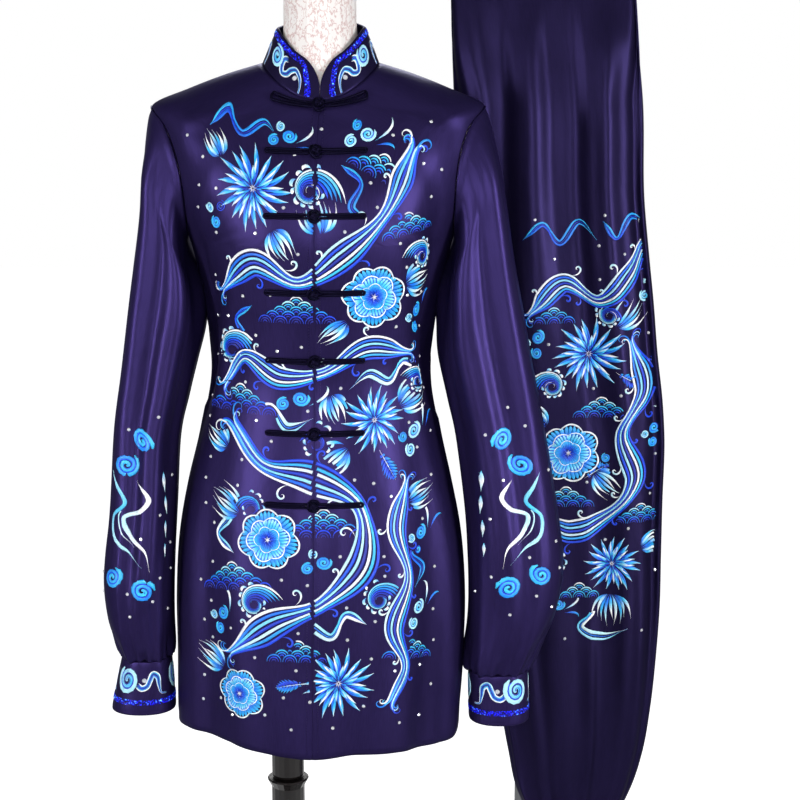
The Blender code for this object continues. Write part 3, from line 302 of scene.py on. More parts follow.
LEG_CREASES = (
    LegFold(-64, 1.40, 0.92, 5, -0.0030),
    LegFold(-41, 1.40, 1.12, 4, 0.0026),
    LegFold(-22, 1.32, 0.98, 4, 0.0022),
    LegFold(-1, 1.40, 1.14, 4, -0.0024),
    LegFold(6, 1.10, 0.76, 5, 0.0020),
    LegFold(22, 1.40, 1.02, 4, 0.0026),
    LegFold(44, 1.34, 0.90, 5, -0.0024),
    LegFold(68, 1.20, 0.70, 5, 0.0024),
    LegFold(-60, 0.66, 0.44, 4, 0.0036),
    LegFold(-32, 0.72, 0.44, 4, 0.0042),
    LegFold(-24, 0.66, 0.44, 3, -0.0034),
    LegFold(3, 0.60, 0.44, 4, -0.0042),
    LegFold(11, 0.64, 0.44, 3, 0.0034),
    LegFold(34, 0.74, 0.44, 4, 0.0040),
    LegFold(57, 0.56, 0.44, 4, -0.0024),
)
WAISTBAND_HEIGHT = 0.040
BAND_POWER = 6.0
BAND_HALF_THICK = 0.0095
ANKLE_HEIGHT = 0.028
BAND_SEAM = 0.0005
BAND_RIB = 0.0004

# The body chart's reach in degrees to each side, and the radius that its search starts from
CHART_ANGLE = 100.0
BODY_RADIUS = 0.14

# Small trims: how far stones lie from each other and from the work, and a stitch's step
STONE_DISTANCE = 0.021
STONE_CLEARANCE = 0.0042
STONE_SEED = 21
STITCH_STEP = 0.0031

# Sequins: their step along a row and the rows' distance, in mm on the collar and m on the cuffs
COLLAR_SEQUIN_STEP = 1.7
COLLAR_SEQUIN_ROW = 1.35
CUFF_SEQUIN_STEP = 0.0018
CUFF_SEQUIN_ROW = 0.0014
CUFF_SEQUIN_HEIGHT = 0.0128
# How far the work stays from the edges of the collar and cuffs
WORK_EDGE = 0.0015

# Turns in degrees of the points round a sleeve or an ankle band
TURNS = np.arange(120) * 3.0

# The photo's camera. In a picture 800 pixels wide its lens has this focal length in pixels, and
# the horizon lies this many of them above the picture's middle.
CAMERA_PLACE = (0.129, -2.0, 1.39)
CAMERA_LENS = 83.34
CAMERA_SENSOR = 36.0
FOCAL_PIXELS = 1852
HORIZON_PIXELS = 393


def curve_through(knots, values, at):
    """Smooth values at the given places, through a table's knots (cubic Hermite)."""
    knots = np.asarray(knots, float)
    values = np.asarray(values, float)
    slopes = np.gradient(values, knots)
    at = np.clip(np.asarray(at, float), knots[0], knots[-1])
    i = np.clip(np.searchsorted(knots, at, side="right") - 1, 0, len(knots) - 2)
    step = knots[i + 1] - knots[i]
    t = (at - knots[i]) / step
    return (
        (2 * t**3 - 3 * t**2 + 1) * values[i]
        + (t**3 - 2 * t**2 + t) * step * slopes[i]
        + (3 * t**2 - 2 * t**3) * values[i + 1]
        + (t**3 - t**2) * step * slopes[i + 1]
    )


def rows_at(table, knots, at):
    """A table's row at places between its knots, each column made smooth by itself."""
    return table[0]._make(curve_through(knots, values, at) for values in zip(*table))


def smooth_step(low, high, value):
    t = np.clip((value - low) / (high - low), 0.0, 1.0)
    return t * t * (3 - 2 * t)


def bell(distance):
    """1 at no distance, falling smoothly to nothing on both sides."""
    return np.exp(-(distance**2))


def wrapped(angle):
    """An angle in degrees, brought between -180 and 180."""
    return (angle + 180.0) % 360.0 - 180.0


def sin_of(degrees):
    return np.sin(np.radians(degrees))


def cos_of(degrees):
    return np.cos(np.radians(degrees))


def unit(vectors):
    """Vectors brought to length 1."""
    return vectors / np.maximum(np.linalg.norm(vectors, axis=-1, keepdims=True), 1e-12)


def matched(first, second):
    """Two numbers or grids, as grids of one shape."""
    return np.broadcast_arrays(np.asarray(first, float), np.asarray(second, float))


def run_along(line):
    """Length along a line of points, from its first point to each."""
    return np.concatenate([[0.0], np.cumsum(np.linalg.norm(np.diff(line, axis=0), axis=1))])


def rounding(turn, power):
    """Sine and cosine of a rounded oval's point."""
    sine, cosine = sin_of(turn), cos_of(turn)
    grow = (np.abs(cosine) ** power + np.abs(sine) ** power) ** (-1 / power)
    return sine * grow, cosine * grow


# Forms of the cloth pieces, as in the CAD source, with the finer creases


def body_level(up):
    """The jacket body's level at a height along it."""
    return rows_at(BODY, [level.up for level in BODY], up)


def body_surface(angle, up):
    """Points of the jacket body's smooth form. angle in degrees from the front, up along it."""
    angle, up = matched(angle, up)
    level = body_level(up)
    sine, cosine = sin_of(angle), cos_of(angle)
    front = cosine >= 0
    depth = np.where(front, -level.front_y, level.back_y)
    middle_z = np.where(front, level.front_z, level.back_z)
    x = TORSO_X + level.centre_x + level.half_width * sine
    z = middle_z + (level.side_z - middle_z) * sine**2
    return np.stack([x, -depth * cosine, z], axis=-1)


def body_normals(angle, up):
    """Unit normals of the jacket body's smooth form, by central differences."""
    up = np.clip(up, *NORMAL_UPS)
    across = body_surface(angle + 0.5, up) - body_surface(angle - 0.5, up)
    upwards = body_surface(angle, up + 0.002) - body_surface(angle, up - 0.002)
    return unit(np.cross(across, upwards))


def body_fold_height(angle, up):
    """How far the jacket body's folds and creases stand out."""
    total = np.zeros(angle.shape)
    for fold in BODY_FOLDS + BODY_CREASES:
        along = np.clip((up - fold.low_up) / (fold.high_up - fold.low_up), 0.0, 1.0)
        middle = fold.low_angle + (fold.high_angle - fold.low_angle) * along
        beyond = np.maximum(fold.low_up - up, up - fold.high_up) / FOLD_FADE
        faded = bell(np.maximum(beyond, 0.0))
        ends = np.where(along <= 0, faded, 1.0 - (1.0 - FOLD_END) * along**2)
        ends = np.where(up > fold.high_up, FOLD_END * faded, ends)
        total = total + fold.depth * ends * bell(wrapped(angle - middle) / fold.width)
    return total


def body_points(angle, up, lift=0.0):
    """Points on the jacket body's outer face, with its folds and creases, moved out by lift."""
    angle, up = matched(angle, up)
    height = body_fold_height(angle, up) + lift
    return body_surface(angle, up) + body_normals(angle, up) * height[..., None]


def armhole_share(up):
    """0 at the armpit and the shoulder point, 1 at the armhole's deepest."""
    t = np.clip((np.asarray(up, float) - ARMPIT_UP) / (SHOULDER_UP - ARMPIT_UP), 0.0, 1.0)
    return np.sqrt(4 * t * (1 - t))


def side_edge(up, cut):
    """Angle from the body's middle line at which a front or back panel ends."""
    vent = VENT_ANGLE * (1 - smooth_step(0.0, VENT_UP, up))
    return 90.0 - cut * armhole_share(up) - vent


def opening_angle(up):
    """Angle of the centre front opening at a height."""
    x = OPENING_HEM_X + (OPENING_NECK_X - OPENING_HEM_X) * up
    level = body_level(up)
    return np.degrees(np.arcsin((x - level.centre_x) / level.half_width))


def hem_height(up, share, swing=0.0, drop=0.0):
    """Heights of a panel's rows, with the hem's own line. share runs from its middle to the vent."""
    corner = HEM_CORNER * np.clip((share - 0.8) / 0.2, 0.0, 1.0) ** 2
    rise = corner + swing * smooth_step(0.08, 0.75, share) - drop * bell(share / 0.17)
    return up + rise * np.maximum(1 - up / HEM_REACH, 0.0)


def armhole(side, share):
    """Points of the armhole's edge at shares of it, from the shoulder point round the front."""
    t = (1 + cos_of(np.linspace(0.0, 180.0, 60))) / 2
    up = ARMPIT_UP + (SHOULDER_UP - ARMPIT_UP) * t
    front = side * (90.0 - ARMHOLE_FRONT * armhole_share(up))
    back = side * (90.0 + ARMHOLE_BACK * armhole_share(up))
    line = np.concatenate([body_points(front, up), body_points(back, up)[::-1][1:]])
    run = run_along(line)
    armpit = run[len(up) - 1]
    share = np.asarray(share) % 1.0
    late = armpit + (share - 0.5) * 2 * (run[-1] - armpit)
    at = np.where(share <= 0.5, share * 2 * armpit, late)
    return np.stack([np.interp(at, run, line[:, k]) for k in range(3)], axis=-1)


FIRST_RING = 1.0 / (len(RIGHT_SLEEVE) + 1)


def sleeve_fold_height(turn, along):
    """How far a sleeve's folds and creases stand out, with the gathers above the cuff."""
    total = np.zeros(turn.shape)
    for fold in SLEEVE_FOLDS + SLEEVE_CREASES:
        rise = smooth_step(fold.top - 0.06, fold.top + 0.14, along)
        fall = 1 - smooth_step(fold.bottom - 0.16, fold.bottom + 0.10, along)
        total = total + fold.depth * rise * fall * bell(wrapped(turn - fold.turn) / fold.width)
    gathers = smooth_step(0.78, 0.95, along) * (1 - 0.35 * smooth_step(0.97, 1.0, along))
    fine = smooth_step(0.84, 0.97, along) * FINE_GATHER_DEPTH * cos_of(turn * 17.0 + 40.0)
    return total + GATHER_DEPTH * gathers * cos_of(turn * CUFF_GATHERS) + fine


def sleeve_ring(side, along):
    """A sleeve's ring at a share of its length."""
    table = LEFT_SLEEVE if side > 0 else RIGHT_SLEEVE
    return rows_at(table, np.linspace(0.0, 1.0, len(table) + 1)[1:], along)


def sleeve_points(side, turn, along):
    """A sleeve's plain form. turn in degrees round it, along 0 at the armhole, 1 at the cuff."""
    ring = sleeve_ring(side, along)
    sine, cosine = rounding(turn, SLEEVE_POWER)
    x = (ring.outer_x + ring.inner_x) / 2 + (ring.outer_x - ring.inner_x) / 2 * cosine
    y = ring.middle_y - ring.half_depth * sine
    z = (ring.outer_z + ring.inner_z) / 2 + (ring.outer_z - ring.inner_z) / 2 * cosine
    return np.stack([TORSO_X + side * x, y, z], axis=-1)


def sleeve_face(side, turn, along, lift=0.0):
    """A sleeve's outer face, with its folds and gathers, joined to the armhole's edge."""
    turn, along = matched(turn, along)
    level = np.maximum(along, FIRST_RING)
    ahead = sleeve_points(side, turn, np.minimum(level + 0.01, 1.0))
    behind = sleeve_points(side, turn, np.maximum(level - 0.01, FIRST_RING))
    across = sleeve_points(side, turn + 1, level) - sleeve_points(side, turn - 1, level)
    normal = unit(side * np.cross(across, ahead - behind))
    height = sleeve_fold_height(turn, level) + lift
    face = sleeve_points(side, turn, level) + normal * height[..., None]
    keep = (1 - smooth_step(0.0, 0.16, along))[..., None]
    return face * (1 - keep) + armhole(side, turn / 360.0) * keep


def cuff_face(side, turn, share, lift=0.0):
    """A cuff's outer face. share runs from its top to its lower edge."""
    size = LEFT_CUFF if side > 0 else RIGHT_CUFF
    turn, share = matched(turn, share)
    width = size.top_width + (size.low_width - size.top_width) * share + lift
    depth = size.top_depth + (size.low_depth - size.top_depth) * share + lift
    x = TORSO_X + side * (size.top_x + (size.low_x - size.top_x) * share)
    z = size.top_z + (size.low_z - size.top_z) * share
    sine, cosine = rounding(turn, CUFF_POWER)
    return np.stack([x + width * cosine, size.y - depth * sine, z], axis=-1)


def collar_face(angle, share, lift=0.0):
    """The stand collar's outer face. angle in degrees from the opening, round the left to 360."""
    angle, share = matched(angle, share)
    centred = np.minimum(angle, 360.0 - angle)
    base = body_surface(angle + opening_angle(1.0) * (1 - centred / 180.0), 1.0)
    sine, cosine = sin_of(angle), cos_of(angle)
    depth = np.where(cosine >= 0, -COLLAR_TOP_FRONT_Y, COLLAR_TOP_BACK_Y)
    x = TORSO_X + COLLAR_TOP_X + COLLAR_TOP_HALF_WIDTH * sine
    top = np.stack([x, -depth * cosine, base[..., 2] + COLLAR_RISE], axis=-1)
    stand = COLLAR_FOOT + (collar_full(centred) - COLLAR_FOOT) * share
    out = unit(np.stack([sine * 0.92, -cosine, np.full(sine.shape, 0.38)], axis=-1))
    lift = np.broadcast_to(lift, angle.shape)
    return base + unit(top - base) * COLLAR_HEIGHT * stand[..., None] + out * lift[..., None]


def collar_angle(across):
    """Angle round the collar of a place across it from the opening."""
    return np.degrees(across / COLLAR_RADIUS) % 360.0


def collar_full(centred):
    """Share of the collar's height that stands at an angle from the opening."""
    corner = np.clip(centred / COLLAR_CORNER, 0.0, 1.0)
    return COLLAR_END_SHARE + (1 - COLLAR_END_SHARE) * np.sqrt(1 - (1 - corner) ** 2)


def trouser_section(z):
    """The trousers' middle in x, half width and half thickness at a height."""
    table = TROUSERS[::-1]
    fold_x, side_x, half_thick = rows_at(table, [drop.z for drop in table], z)[1:]
    return (fold_x + side_x) / 2, (side_x - fold_x) / 2, half_thick


def leg_fold_height(turn, z, phase):
    """How far a leg's folds and creases stand out."""
    total = np.zeros(turn.shape)
    for fold in LEG_FOLDS + LEG_CREASES:
        ends = smooth_step(fold.low_z - 0.10, fold.low_z + 0.10, z)
        ends = ends * (1 - smooth_step(fold.top_z - 0.06, fold.top_z + 0.06, z) * 0.6)
        total = total + fold.depth * ends * bell(wrapped(turn - fold.turn - phase) / fold.width)
    return total * (1 - smooth_step(1.33, 1.40, z) * 0.5)


def leg_closed(z):
    """0 above the crotch, where both legs are one tube, and 1 below it."""
    return 1 - smooth_step(FORK_LOW_Z, FORK_HIGH_Z, z)


def leg_face(side, share, z, lift=0.0):
    """A leg's outer face. side -1 is the near (left) leg, +1 the far one. share runs from 0 at the
    front's edge, outside round the side seam and back inside to 1 at the back's edge."""
    share, z = matched(share, z)
    middle, half, half_thick = trouser_section(z)
    closed = leg_closed(z)
    end = SEAT_TURN + (270.0 - SLIT_TURN - SEAT_TURN) * closed
    first = -90.0 + SLIT_TURN * closed
    outside = first + (90.0 - first) * share * 2
    turn = np.where(share <= 0.5, outside, 90.0 + (end - 90.0) * (share - 0.5) * 2)
    across, out = rounding(turn, LEG_POWER + (BAND_POWER - LEG_POWER) * smooth_step(1.28, 1.40, z))
    thick = half_thick - LEG_GAP
    tube = LEG_GAP + thick / 2 * (1 + out)
    seated = np.where(turn < 0, LEG_GAP + thick * out, np.where(turn > 180, LEG_GAP, tube))
    away = seated + (tube - seated) * closed
    gathers = (1 - smooth_step(0.415, ANKLE_GATHER_Z, z)) * 0.0030 * cos_of(turn * ANKLE_GATHERS)
    fine = (1 - smooth_step(0.415, 0.46, z)) * 0.0010 * cos_of(turn * 19.0 + 30.0)
    pleats = smooth_step(1.30, 1.40, z) * 0.0012 * cos_of(turn * 15.0)
    height = leg_fold_height(turn, z, 0.0 if side < 0 else 11.0) + gathers + fine + pleats + lift
    away = away + height * (1 - smooth_step(70.0, 110.0, np.abs(turn)))
    edge = (1 - closed) * np.maximum(1 - np.minimum(share, 1 - share) / 0.03, 0.0)
    away = away + (SEAM_GAP / 2 - away) * np.clip(edge, 0.0, 1.0)
    return np.stack([TORSO_X + middle + half * across, TROUSER_Y + side * away, z], axis=-1)


# Shader building


def add_node(tree, kind, settings=None, sockets=None):
    """Adds a node to a tree: its settings first, then its sockets' values or links."""
    made = tree.nodes.new(kind)
    for name, value in (settings or {}).items():
        if name == "stops":
            stops = made.color_ramp.elements
            while len(stops) < len(value):
                stops.new(0.5)
            for stop, (place, colour) in zip(stops, value):
                stop.position = place
                stop.color = colour
        else:
            setattr(made, name, value)
    for name, value in (sockets or {}).items():
        value = getattr(value, "socket", value)
        if isinstance(value, bpy.types.NodeSocket):
            tree.links.new(value, made.inputs[name])
        else:
            made.inputs[name].default_value = value
    return made


class Varying:
    """A number that varies over a surface. Arithmetic on it adds Math nodes."""

    def __init__(self, finish, socket):
        self.finish = finish
        self.socket = socket

    def math(self, operation, *values):
        sockets = dict(enumerate(values))
        return Varying(self.finish, self.finish.node("Math", {"operation": operation}, sockets))

    def __add__(self, other):
        return self.math("ADD", self, other)

    def __sub__(self, other):
        return self.math("SUBTRACT", self, other)

    def __rsub__(self, other):
        return self.math("SUBTRACT", other, self)

    def __mul__(self, other):
        return self.math("MULTIPLY", self, other)

    def clamped(self, low, high):
        return self.math("MINIMUM", self.math("MAXIMUM", self, low), high)

    def away_from(self, middle):
        """How far the number lies from a middle one."""
        return self.math("ABSOLUTE", self - middle)

    __radd__ = __add__
    __rmul__ = __mul__


class Finish:
    """A material: one Principled shader, with constants on its sockets and what varies linked."""

    def __init__(self, name, **constants):
        self.material = bpy.data.materials.new(name)
        self.material.use_nodes = True
        self.tree = self.material.node_tree
        self.tree.nodes.clear()
        sockets = {socket.replace("_", " "): value for socket, value in constants.items()}
        self.shader = add_node(self.tree, "ShaderNodeBsdfPrincipled", None, sockets)
        add_node(self.tree, "ShaderNodeOutputMaterial", None, {"Surface": self.shader.outputs["BSDF"]})

    def node(self, kind, settings=None, sockets=None, output=0):
        return add_node(self.tree, "ShaderNode" + kind, settings, sockets).outputs[output]

    def place(self, source="Object"):
        return self.node("TexCoord", output=source)

    def noise(self, vector, scale, detail=2.0, rough=0.5, stretch=None):
        """Noise at a place, or at that place stretched along its axes first."""
        if stretch:
            vector = self.node("Mapping", sockets={"Vector": vector, "Scale": stretch})
        sockets = {"Vector": vector, "Scale": scale, "Detail": detail, "Roughness": rough}
        return Varying(self, self.node("TexNoise", sockets=sockets))

    def mix(self, share, first, second):
        sockets = {0: share, 6: first, 7: second}
        return self.node("Mix", {"data_type": "RGBA"}, sockets, 2)

    def ramp(self, value, stops):
        return self.node("ValToRGB", {"stops": stops}, {0: value})

    def bump(self, height, distance, strength=1.0, below=None):
        sockets = {"Strength": strength, "Distance": distance, "Height": height}
        if below:
            sockets["Normal"] = below
        return self.node("Bump", sockets=sockets)

    def link(self, **inputs):
        for name, value in inputs.items():
            value = getattr(value, "socket", value)
            self.tree.links.new(value, self.shader.inputs[name.replace("_", " ")])
        return self.material


def rgb(*seen):
    """A shader colour from the red, green and blue seen on screen."""
    return tuple(((c / 255 + 0.055) / 1.055) ** 2.4 if c > 10 else c / 255 / 12.92 for c in seen) + (1.0,)


def satin_finish(name, ground, painted_sheen):
    """Heavy silky satin: close warp floats with a violet sheen, and faint slubs. Its colour is painted
    lighter at random along the floats and slubs: painted sheen.
    """
    finish = Finish(
        name, Metallic=0.60, IOR=1.5, Specular_IOR_Level=0.22, Specular_Tint=rgb(104, 88, 160),
    )
    cloth = finish.place("UV")
    warp = finish.noise(cloth, 1.0, stretch=(900.0, 70.0, 1.0))
    weft = finish.noise(cloth, 1.0, 1.0, stretch=(60.0, 1500.0, 1.0))
    slub = finish.noise(cloth, 1.0, 3.0, 0.6, stretch=(26.0, 5.0, 1.0))
    crush = finish.noise(cloth, 1.0, 3.0, stretch=(30.0, 15.0, 1.0))
    # Painted sheen: the ground colour turns lighter at random along the warp floats and slubs
    colour = finish.mix((warp * 0.45 + slub * 0.55).clamped(0.0, 1.0), ground, painted_sheen)
    rough = 0.40 + (slub - 0.5) * 0.16 + (warp - 0.5) * 0.10
    soft = finish.bump(crush, 0.0022, 0.40)
    fine = finish.bump(warp * 0.7 + weft * 0.3, 0.00006, 0.5, soft)
    return finish.link(Base_Color=colour, Roughness=rough, Normal=fine)


def thread_finish():
    """Rayon embroidery thread: bright, with the stitches running along each stroke."""
    finish = Finish("embroidery_thread", Specular_IOR_Level=0.5)
    colour = finish.node("Attribute", {"attribute_name": "thread"}, output="Color")
    strand = finish.noise(finish.place("UV"), 1.0, 1.0, stretch=(220.0, 2400.0, 1.0))
    shadow = ((strand - 0.42) * 1.6).clamped(0.0, 0.30)
    shade = finish.mix(shadow, colour, (0.0, 0.01, 0.10, 1.0))
    fine = finish.bump(strand, 0.00015, 0.7)
    return finish.link(Base_Color=shade, Roughness=0.34 + strand * 0.2, Normal=fine)


def jersey_finish():
    """The dress form's knitted cover: off-white, with a faint print of fine lines."""
    finish = Finish("form_jersey", Specular_IOR_Level=0.25, Sheen_Weight=0.2, Sheen_Roughness=0.5)
    place = finish.place()
    knit = finish.noise(place, 1.0, 1.0, stretch=(900.0, 900.0, 500.0))
    blotch = finish.noise(place, 18.0, 3.0)
    tone = (blotch * 0.7 + knit * 0.3).clamped(0.0, 1.0)
    ground = finish.mix(tone, rgb(214, 208, 206), rgb(232, 228, 226))
    lines = finish.noise(place, 120.0, 3.0, 0.7, stretch=(1.0, 1.0, 0.6))
    faint = ((0.035 - lines.away_from(0.5)) * 26.0).clamped(0.0, 0.55)
    colour = finish.mix(faint, ground, rgb(176, 122, 120))
    fine = finish.bump(knit, 0.0002, 0.5)
    return finish.link(Base_Color=colour, Roughness=0.72 + knit * 0.15, Normal=fine)


def lacquer_finish():
    """The form stand's black lacquer on turned wood."""
    finish = Finish("black_lacquer", Coat_Weight=0.8, Coat_Roughness=0.08, Specular_IOR_Level=0.5)
    place = finish.place()
    grain = finish.noise(place, 1.0, 3.0, stretch=(90.0, 90.0, 9.0))
    dust = finish.noise(place, 240.0, 2.0)
    colour = finish.mix(grain, rgb(9, 8, 9), rgb(24, 20, 20))
    rough = 0.16 + grain * 0.10 + dust * 0.06
    return finish.link(Base_Color=colour, Roughness=rough, Normal=finish.bump(grain, 0.0002, 0.25))


def metal_finish(name, colour, rough, stretch):
    """Drawn or powdered metal with fine marks along it."""
    finish = Finish(name, Metallic=1.0)
    marks = finish.noise(finish.place(), 1.0, 3.0, stretch=stretch)
    shade = finish.mix(marks, tuple(c * 0.8 for c in colour[:3]) + (1.0,), colour)
    fine = finish.bump(marks, 0.0001, 0.3)
    return finish.link(Base_Color=shade, Roughness=rough + marks * 0.15, Normal=fine)


def clip_finish():
    """The hanger clips' pale moulded plastic."""
    finish = Finish("clip_plastic", Specular_IOR_Level=0.5)
    grain = finish.noise(finish.place(), 900.0, 2.0)
    colour = finish.mix(grain, rgb(196, 198, 204), rgb(222, 223, 228))
    fine = finish.bump(grain, 0.0001, 0.3)
    return finish.link(Base_Color=colour, Roughness=0.36 + grain * 0.12, Normal=fine)


# Pieces of cloth


def in_scene(name, data):
    """A new object in the scene."""
    obj = bpy.data.objects.new(name, data)
    bpy.context.scene.collection.objects.link(obj)
    return obj


def add_piece(name, mesh, finish, replaced=()):
    """A finished piece on the root body, in the place of the nodes that it replaces."""
    obj = in_scene(name, mesh)
    mesh.materials.clear()
    mesh.materials.append(finish)
    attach(obj, "root")
    if replaced:
        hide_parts(*replaced)


def frozen(obj):
    """The evaluated mesh of an object, as a plain mesh, with the helper object removed."""
    graph = bpy.context.evaluated_depsgraph_get()
    mesh = bpy.data.meshes.new_from_object(obj.evaluated_get(graph))
    bpy.data.objects.remove(obj, do_unlink=True)
    return mesh


def cloth_piece(name, finish, points, thickness=CLOTH, wrap=False, flip=False):
    """A cloth wall in the place of its CAD solid, from a grid of outer points, rows by columns. It
    is thickened inwards, with a UV map in metres along the cloth."""
    rows, columns = points.shape[:2]
    if wrap:
        points = np.concatenate([points, points[:, :1]], axis=1)
    across = np.zeros(points.shape[:2])
    down = np.zeros(points.shape[:2])
    across[:, 1:] = np.cumsum(np.linalg.norm(np.diff(points, axis=1), axis=-1), axis=1)
    down[1:] = np.cumsum(np.linalg.norm(np.diff(points, axis=0), axis=-1), axis=0)
    across -= across.mean(axis=1, keepdims=True)
    faces, corners = [], []
    for i in range(rows - 1):
        for j in range(points.shape[1] - 1):
            k = (j + 1) % columns if wrap else j + 1
            face = [(i, j, j), (i, k, j + 1), (i + 1, k, j + 1), (i + 1, j, j)]
            if flip:
                face.reverse()
            faces.append([row * columns + spot for row, spot, _ in face])
            corners += [(across[row, spot], down[row, spot]) for row, _, spot in face]
    mesh = bpy.data.meshes.new(name)
    mesh.from_pydata(points[:, :columns].reshape(-1, 3).tolist(), [], faces)
    mesh.uv_layers.new(name="UVMap").data.foreach_set("uv", np.array(corners, np.float32).ravel())
    mesh.shade_smooth()
    helper = in_scene(name, mesh)
    wall = helper.modifiers.new("wall", "SOLIDIFY")
    wall.thickness = thickness
    wall.offset = -1.0
    made = frozen(helper)
    made.name = name
    add_piece(name + "_cloth", made, finish, [name])


def pull_in(points, start):
    """Draws a panel's edges in along the cloth, to leave the seam gaps: its first edge by start, its
    last and its neck by a whole gap. The hem stays."""
    grid = points.copy()
    first, second, last, next_last = np.s_[:, 0], np.s_[:, 1], np.s_[:, -1], np.s_[:, -2]
    for edge, inner, gap in ((first, second, start), (last, next_last, SEAM_GAP), (-1, -2, SEAM_GAP)):
        grid[edge] += unit(grid[inner] - grid[edge]) * gap
    return grid


def rolled(share, width, low=0.0):
    """1 at both edges of a band, from low to 1, and nothing between them."""
    return bell((share - low) / width) + bell((share - 1) / width)


def panel_rows(low, arm, top):
    """Heights of a body panel's rows: hem to armpit, round the armhole, shoulder to neck."""
    turn = (1 - np.cos(np.pi * np.arange(arm + 1) / arm)) / 2
    return np.concatenate([
        np.linspace(0.0, ARMPIT_UP, low)[:-1],
        ARMPIT_UP + (SHOULDER_UP - ARMPIT_UP) * turn,
        np.linspace(SHOULDER_UP, 1.0, top)[1:],
    ])


def front_panel(name, side, finish):
    """One front, on the wearer's right or left. Its edge is turned in at the opening, and the right
    one's underlap goes on behind the left."""
    underlap = [-0.085, -0.060, -0.035, -0.016, -0.006] if side < 0 else []
    share = np.concatenate([underlap, [0.0, 0.006, 0.014], np.linspace(0.026, 1.0, 54)])
    up = panel_rows(78, 34, 22)[:, None]
    start = opening_angle(up)
    angle = start + (side * side_edge(up, ARMHOLE_FRONT) - start) * share
    height = hem_height(up, share, LEFT_HEM_RISE if side > 0 else RIGHT_HEM_RISE, OPENING_DROP)
    behind = (CLOTH + EDGE_ROLL) * smooth_step(0.0, 0.014, -share)
    points = body_points(angle, height, -EDGE_ROLL * bell(share / 0.008) - behind)
    cloth_piece(name, finish, pull_in(points, SEAM_GAP / 3), flip=side < 0)


def back_panel(finish):
    """The back, one piece from side seam to side seam."""
    share = np.linspace(-1.0, 1.0, 97)
    up = panel_rows(72, 32, 18)[:, None]
    angle = 180.0 + share * side_edge(up, ARMHOLE_BACK)
    points = body_points(angle, hem_height(up, np.abs(share)))
    cloth_piece("back", finish, pull_in(points, SEAM_GAP))


def sleeve(name, side, finish):
    """A set-in sleeve: it leaves the armhole's edge and is gathered to the cuff's top."""
    along = np.concatenate([np.linspace(0.0, 0.10, 12), np.linspace(0.10, 1.0, 96)[1:]])
    grid = sleeve_face(side, TURNS, along[:, None])
    edge = grid[0].copy()
    away = unit(edge - edge.mean(axis=0))
    tip = bell(np.minimum(TURNS, 360.0 - TURNS) / 24.0)
    puff = bell((along - 0.035) / 0.02)[:, None] * 0.0012 * (1 - tip)
    grid = grid + away * puff[..., None]
    grid[0] = edge + np.array([side * SLEEVE_SET, 0.0, 0.0]) + away * 0.0002
    grid[..., 2] -= 0.0020 * tip * bell(along / 0.06)[:, None]
    cloth_piece(name, finish, grid, wrap=True, flip=side < 0)


def cuff(name, side, finish):
    """An interfaced cuff with a rolled lower edge."""
    share = np.concatenate([[0.0, 0.02], np.linspace(0.06, 0.94, 14), [0.98, 1.0]])[:, None]
    points = cuff_face(side, np.arange(96) * 3.75, share, -0.0005 * rolled(share, 0.03))
    cloth_piece(name, finish, points, STIFF_CLOTH, wrap=True)


def collar(finish):
    """The stand collar: one band from end to end, its front corners rounded down."""
    end = math.degrees(SEAM_GAP / 2 / COLLAR_END_RADIUS)
    corner = end + (1 - np.cos(np.linspace(0.0, np.pi / 2, 24))) * (COLLAR_CORNER + 2.0)
    middle = np.linspace(corner[-1], 360.0 - corner[-1], 140)[1:-1]
    angle = np.concatenate([corner, middle, 360.0 - corner[::-1]])
    low = -0.06
    share = np.concatenate([[low, 0.03], np.linspace(0.08, 0.92, 10), [0.97, 1.0]])[:, None]
    points = collar_face(angle, share, -0.0005 * rolled(share, 0.04, low))
    cloth_piece("collar", finish, points, STIFF_CLOTH)


def leg(name, side, finish):
    """One trouser leg, joined to the other by the seat seams above the crotch."""
    share = np.concatenate([np.linspace(0.0, 0.5, 84), np.linspace(0.5, 1.0, 34)[1:]])
    z = np.concatenate([
        np.linspace(TROUSER_TOP_Z - BAND_SEAM, FORK_HIGH_Z + 0.01, 60)[:-1],
        np.linspace(FORK_HIGH_Z + 0.01, FORK_LOW_Z - 0.005, 24)[:-1],
        np.linspace(FORK_LOW_Z - 0.005, ANKLE_GATHER_Z, 90)[:-1],
        np.linspace(ANKLE_GATHER_Z, TROUSER_LOW_Z, 32),
    ])
    cloth_piece(name, finish, leg_face(side, share, z[:, None]), flip=side < 0)


def band_loop():
    """The waistband's line seen from above: one loop, folded in two like the trousers."""
    middle, half, _ = trouser_section(TROUSER_TOP_Z)
    thick = BAND_HALF_THICK - LEG_GAP
    near = []
    for turn in np.concatenate([np.linspace(-90.0, 90.0, 61), np.linspace(94.0, SEAT_TURN, 24)]):
        across, out = rounding(turn, BAND_POWER)
        away = LEG_GAP + (thick * out if turn < 0 else thick / 2 * (1 + out))
        near.append((TORSO_X + middle + half * across, LEG_GAP if turn > 180 else away))
    near[0] = (near[0][0], 0.0)
    near.append((near[-1][0] - 0.0012, 0.0))
    far = near[-2:0:-1]
    return np.array([(x, TROUSER_Y - away) for x, away in near] + [(x, TROUSER_Y + away) for x, away in far])


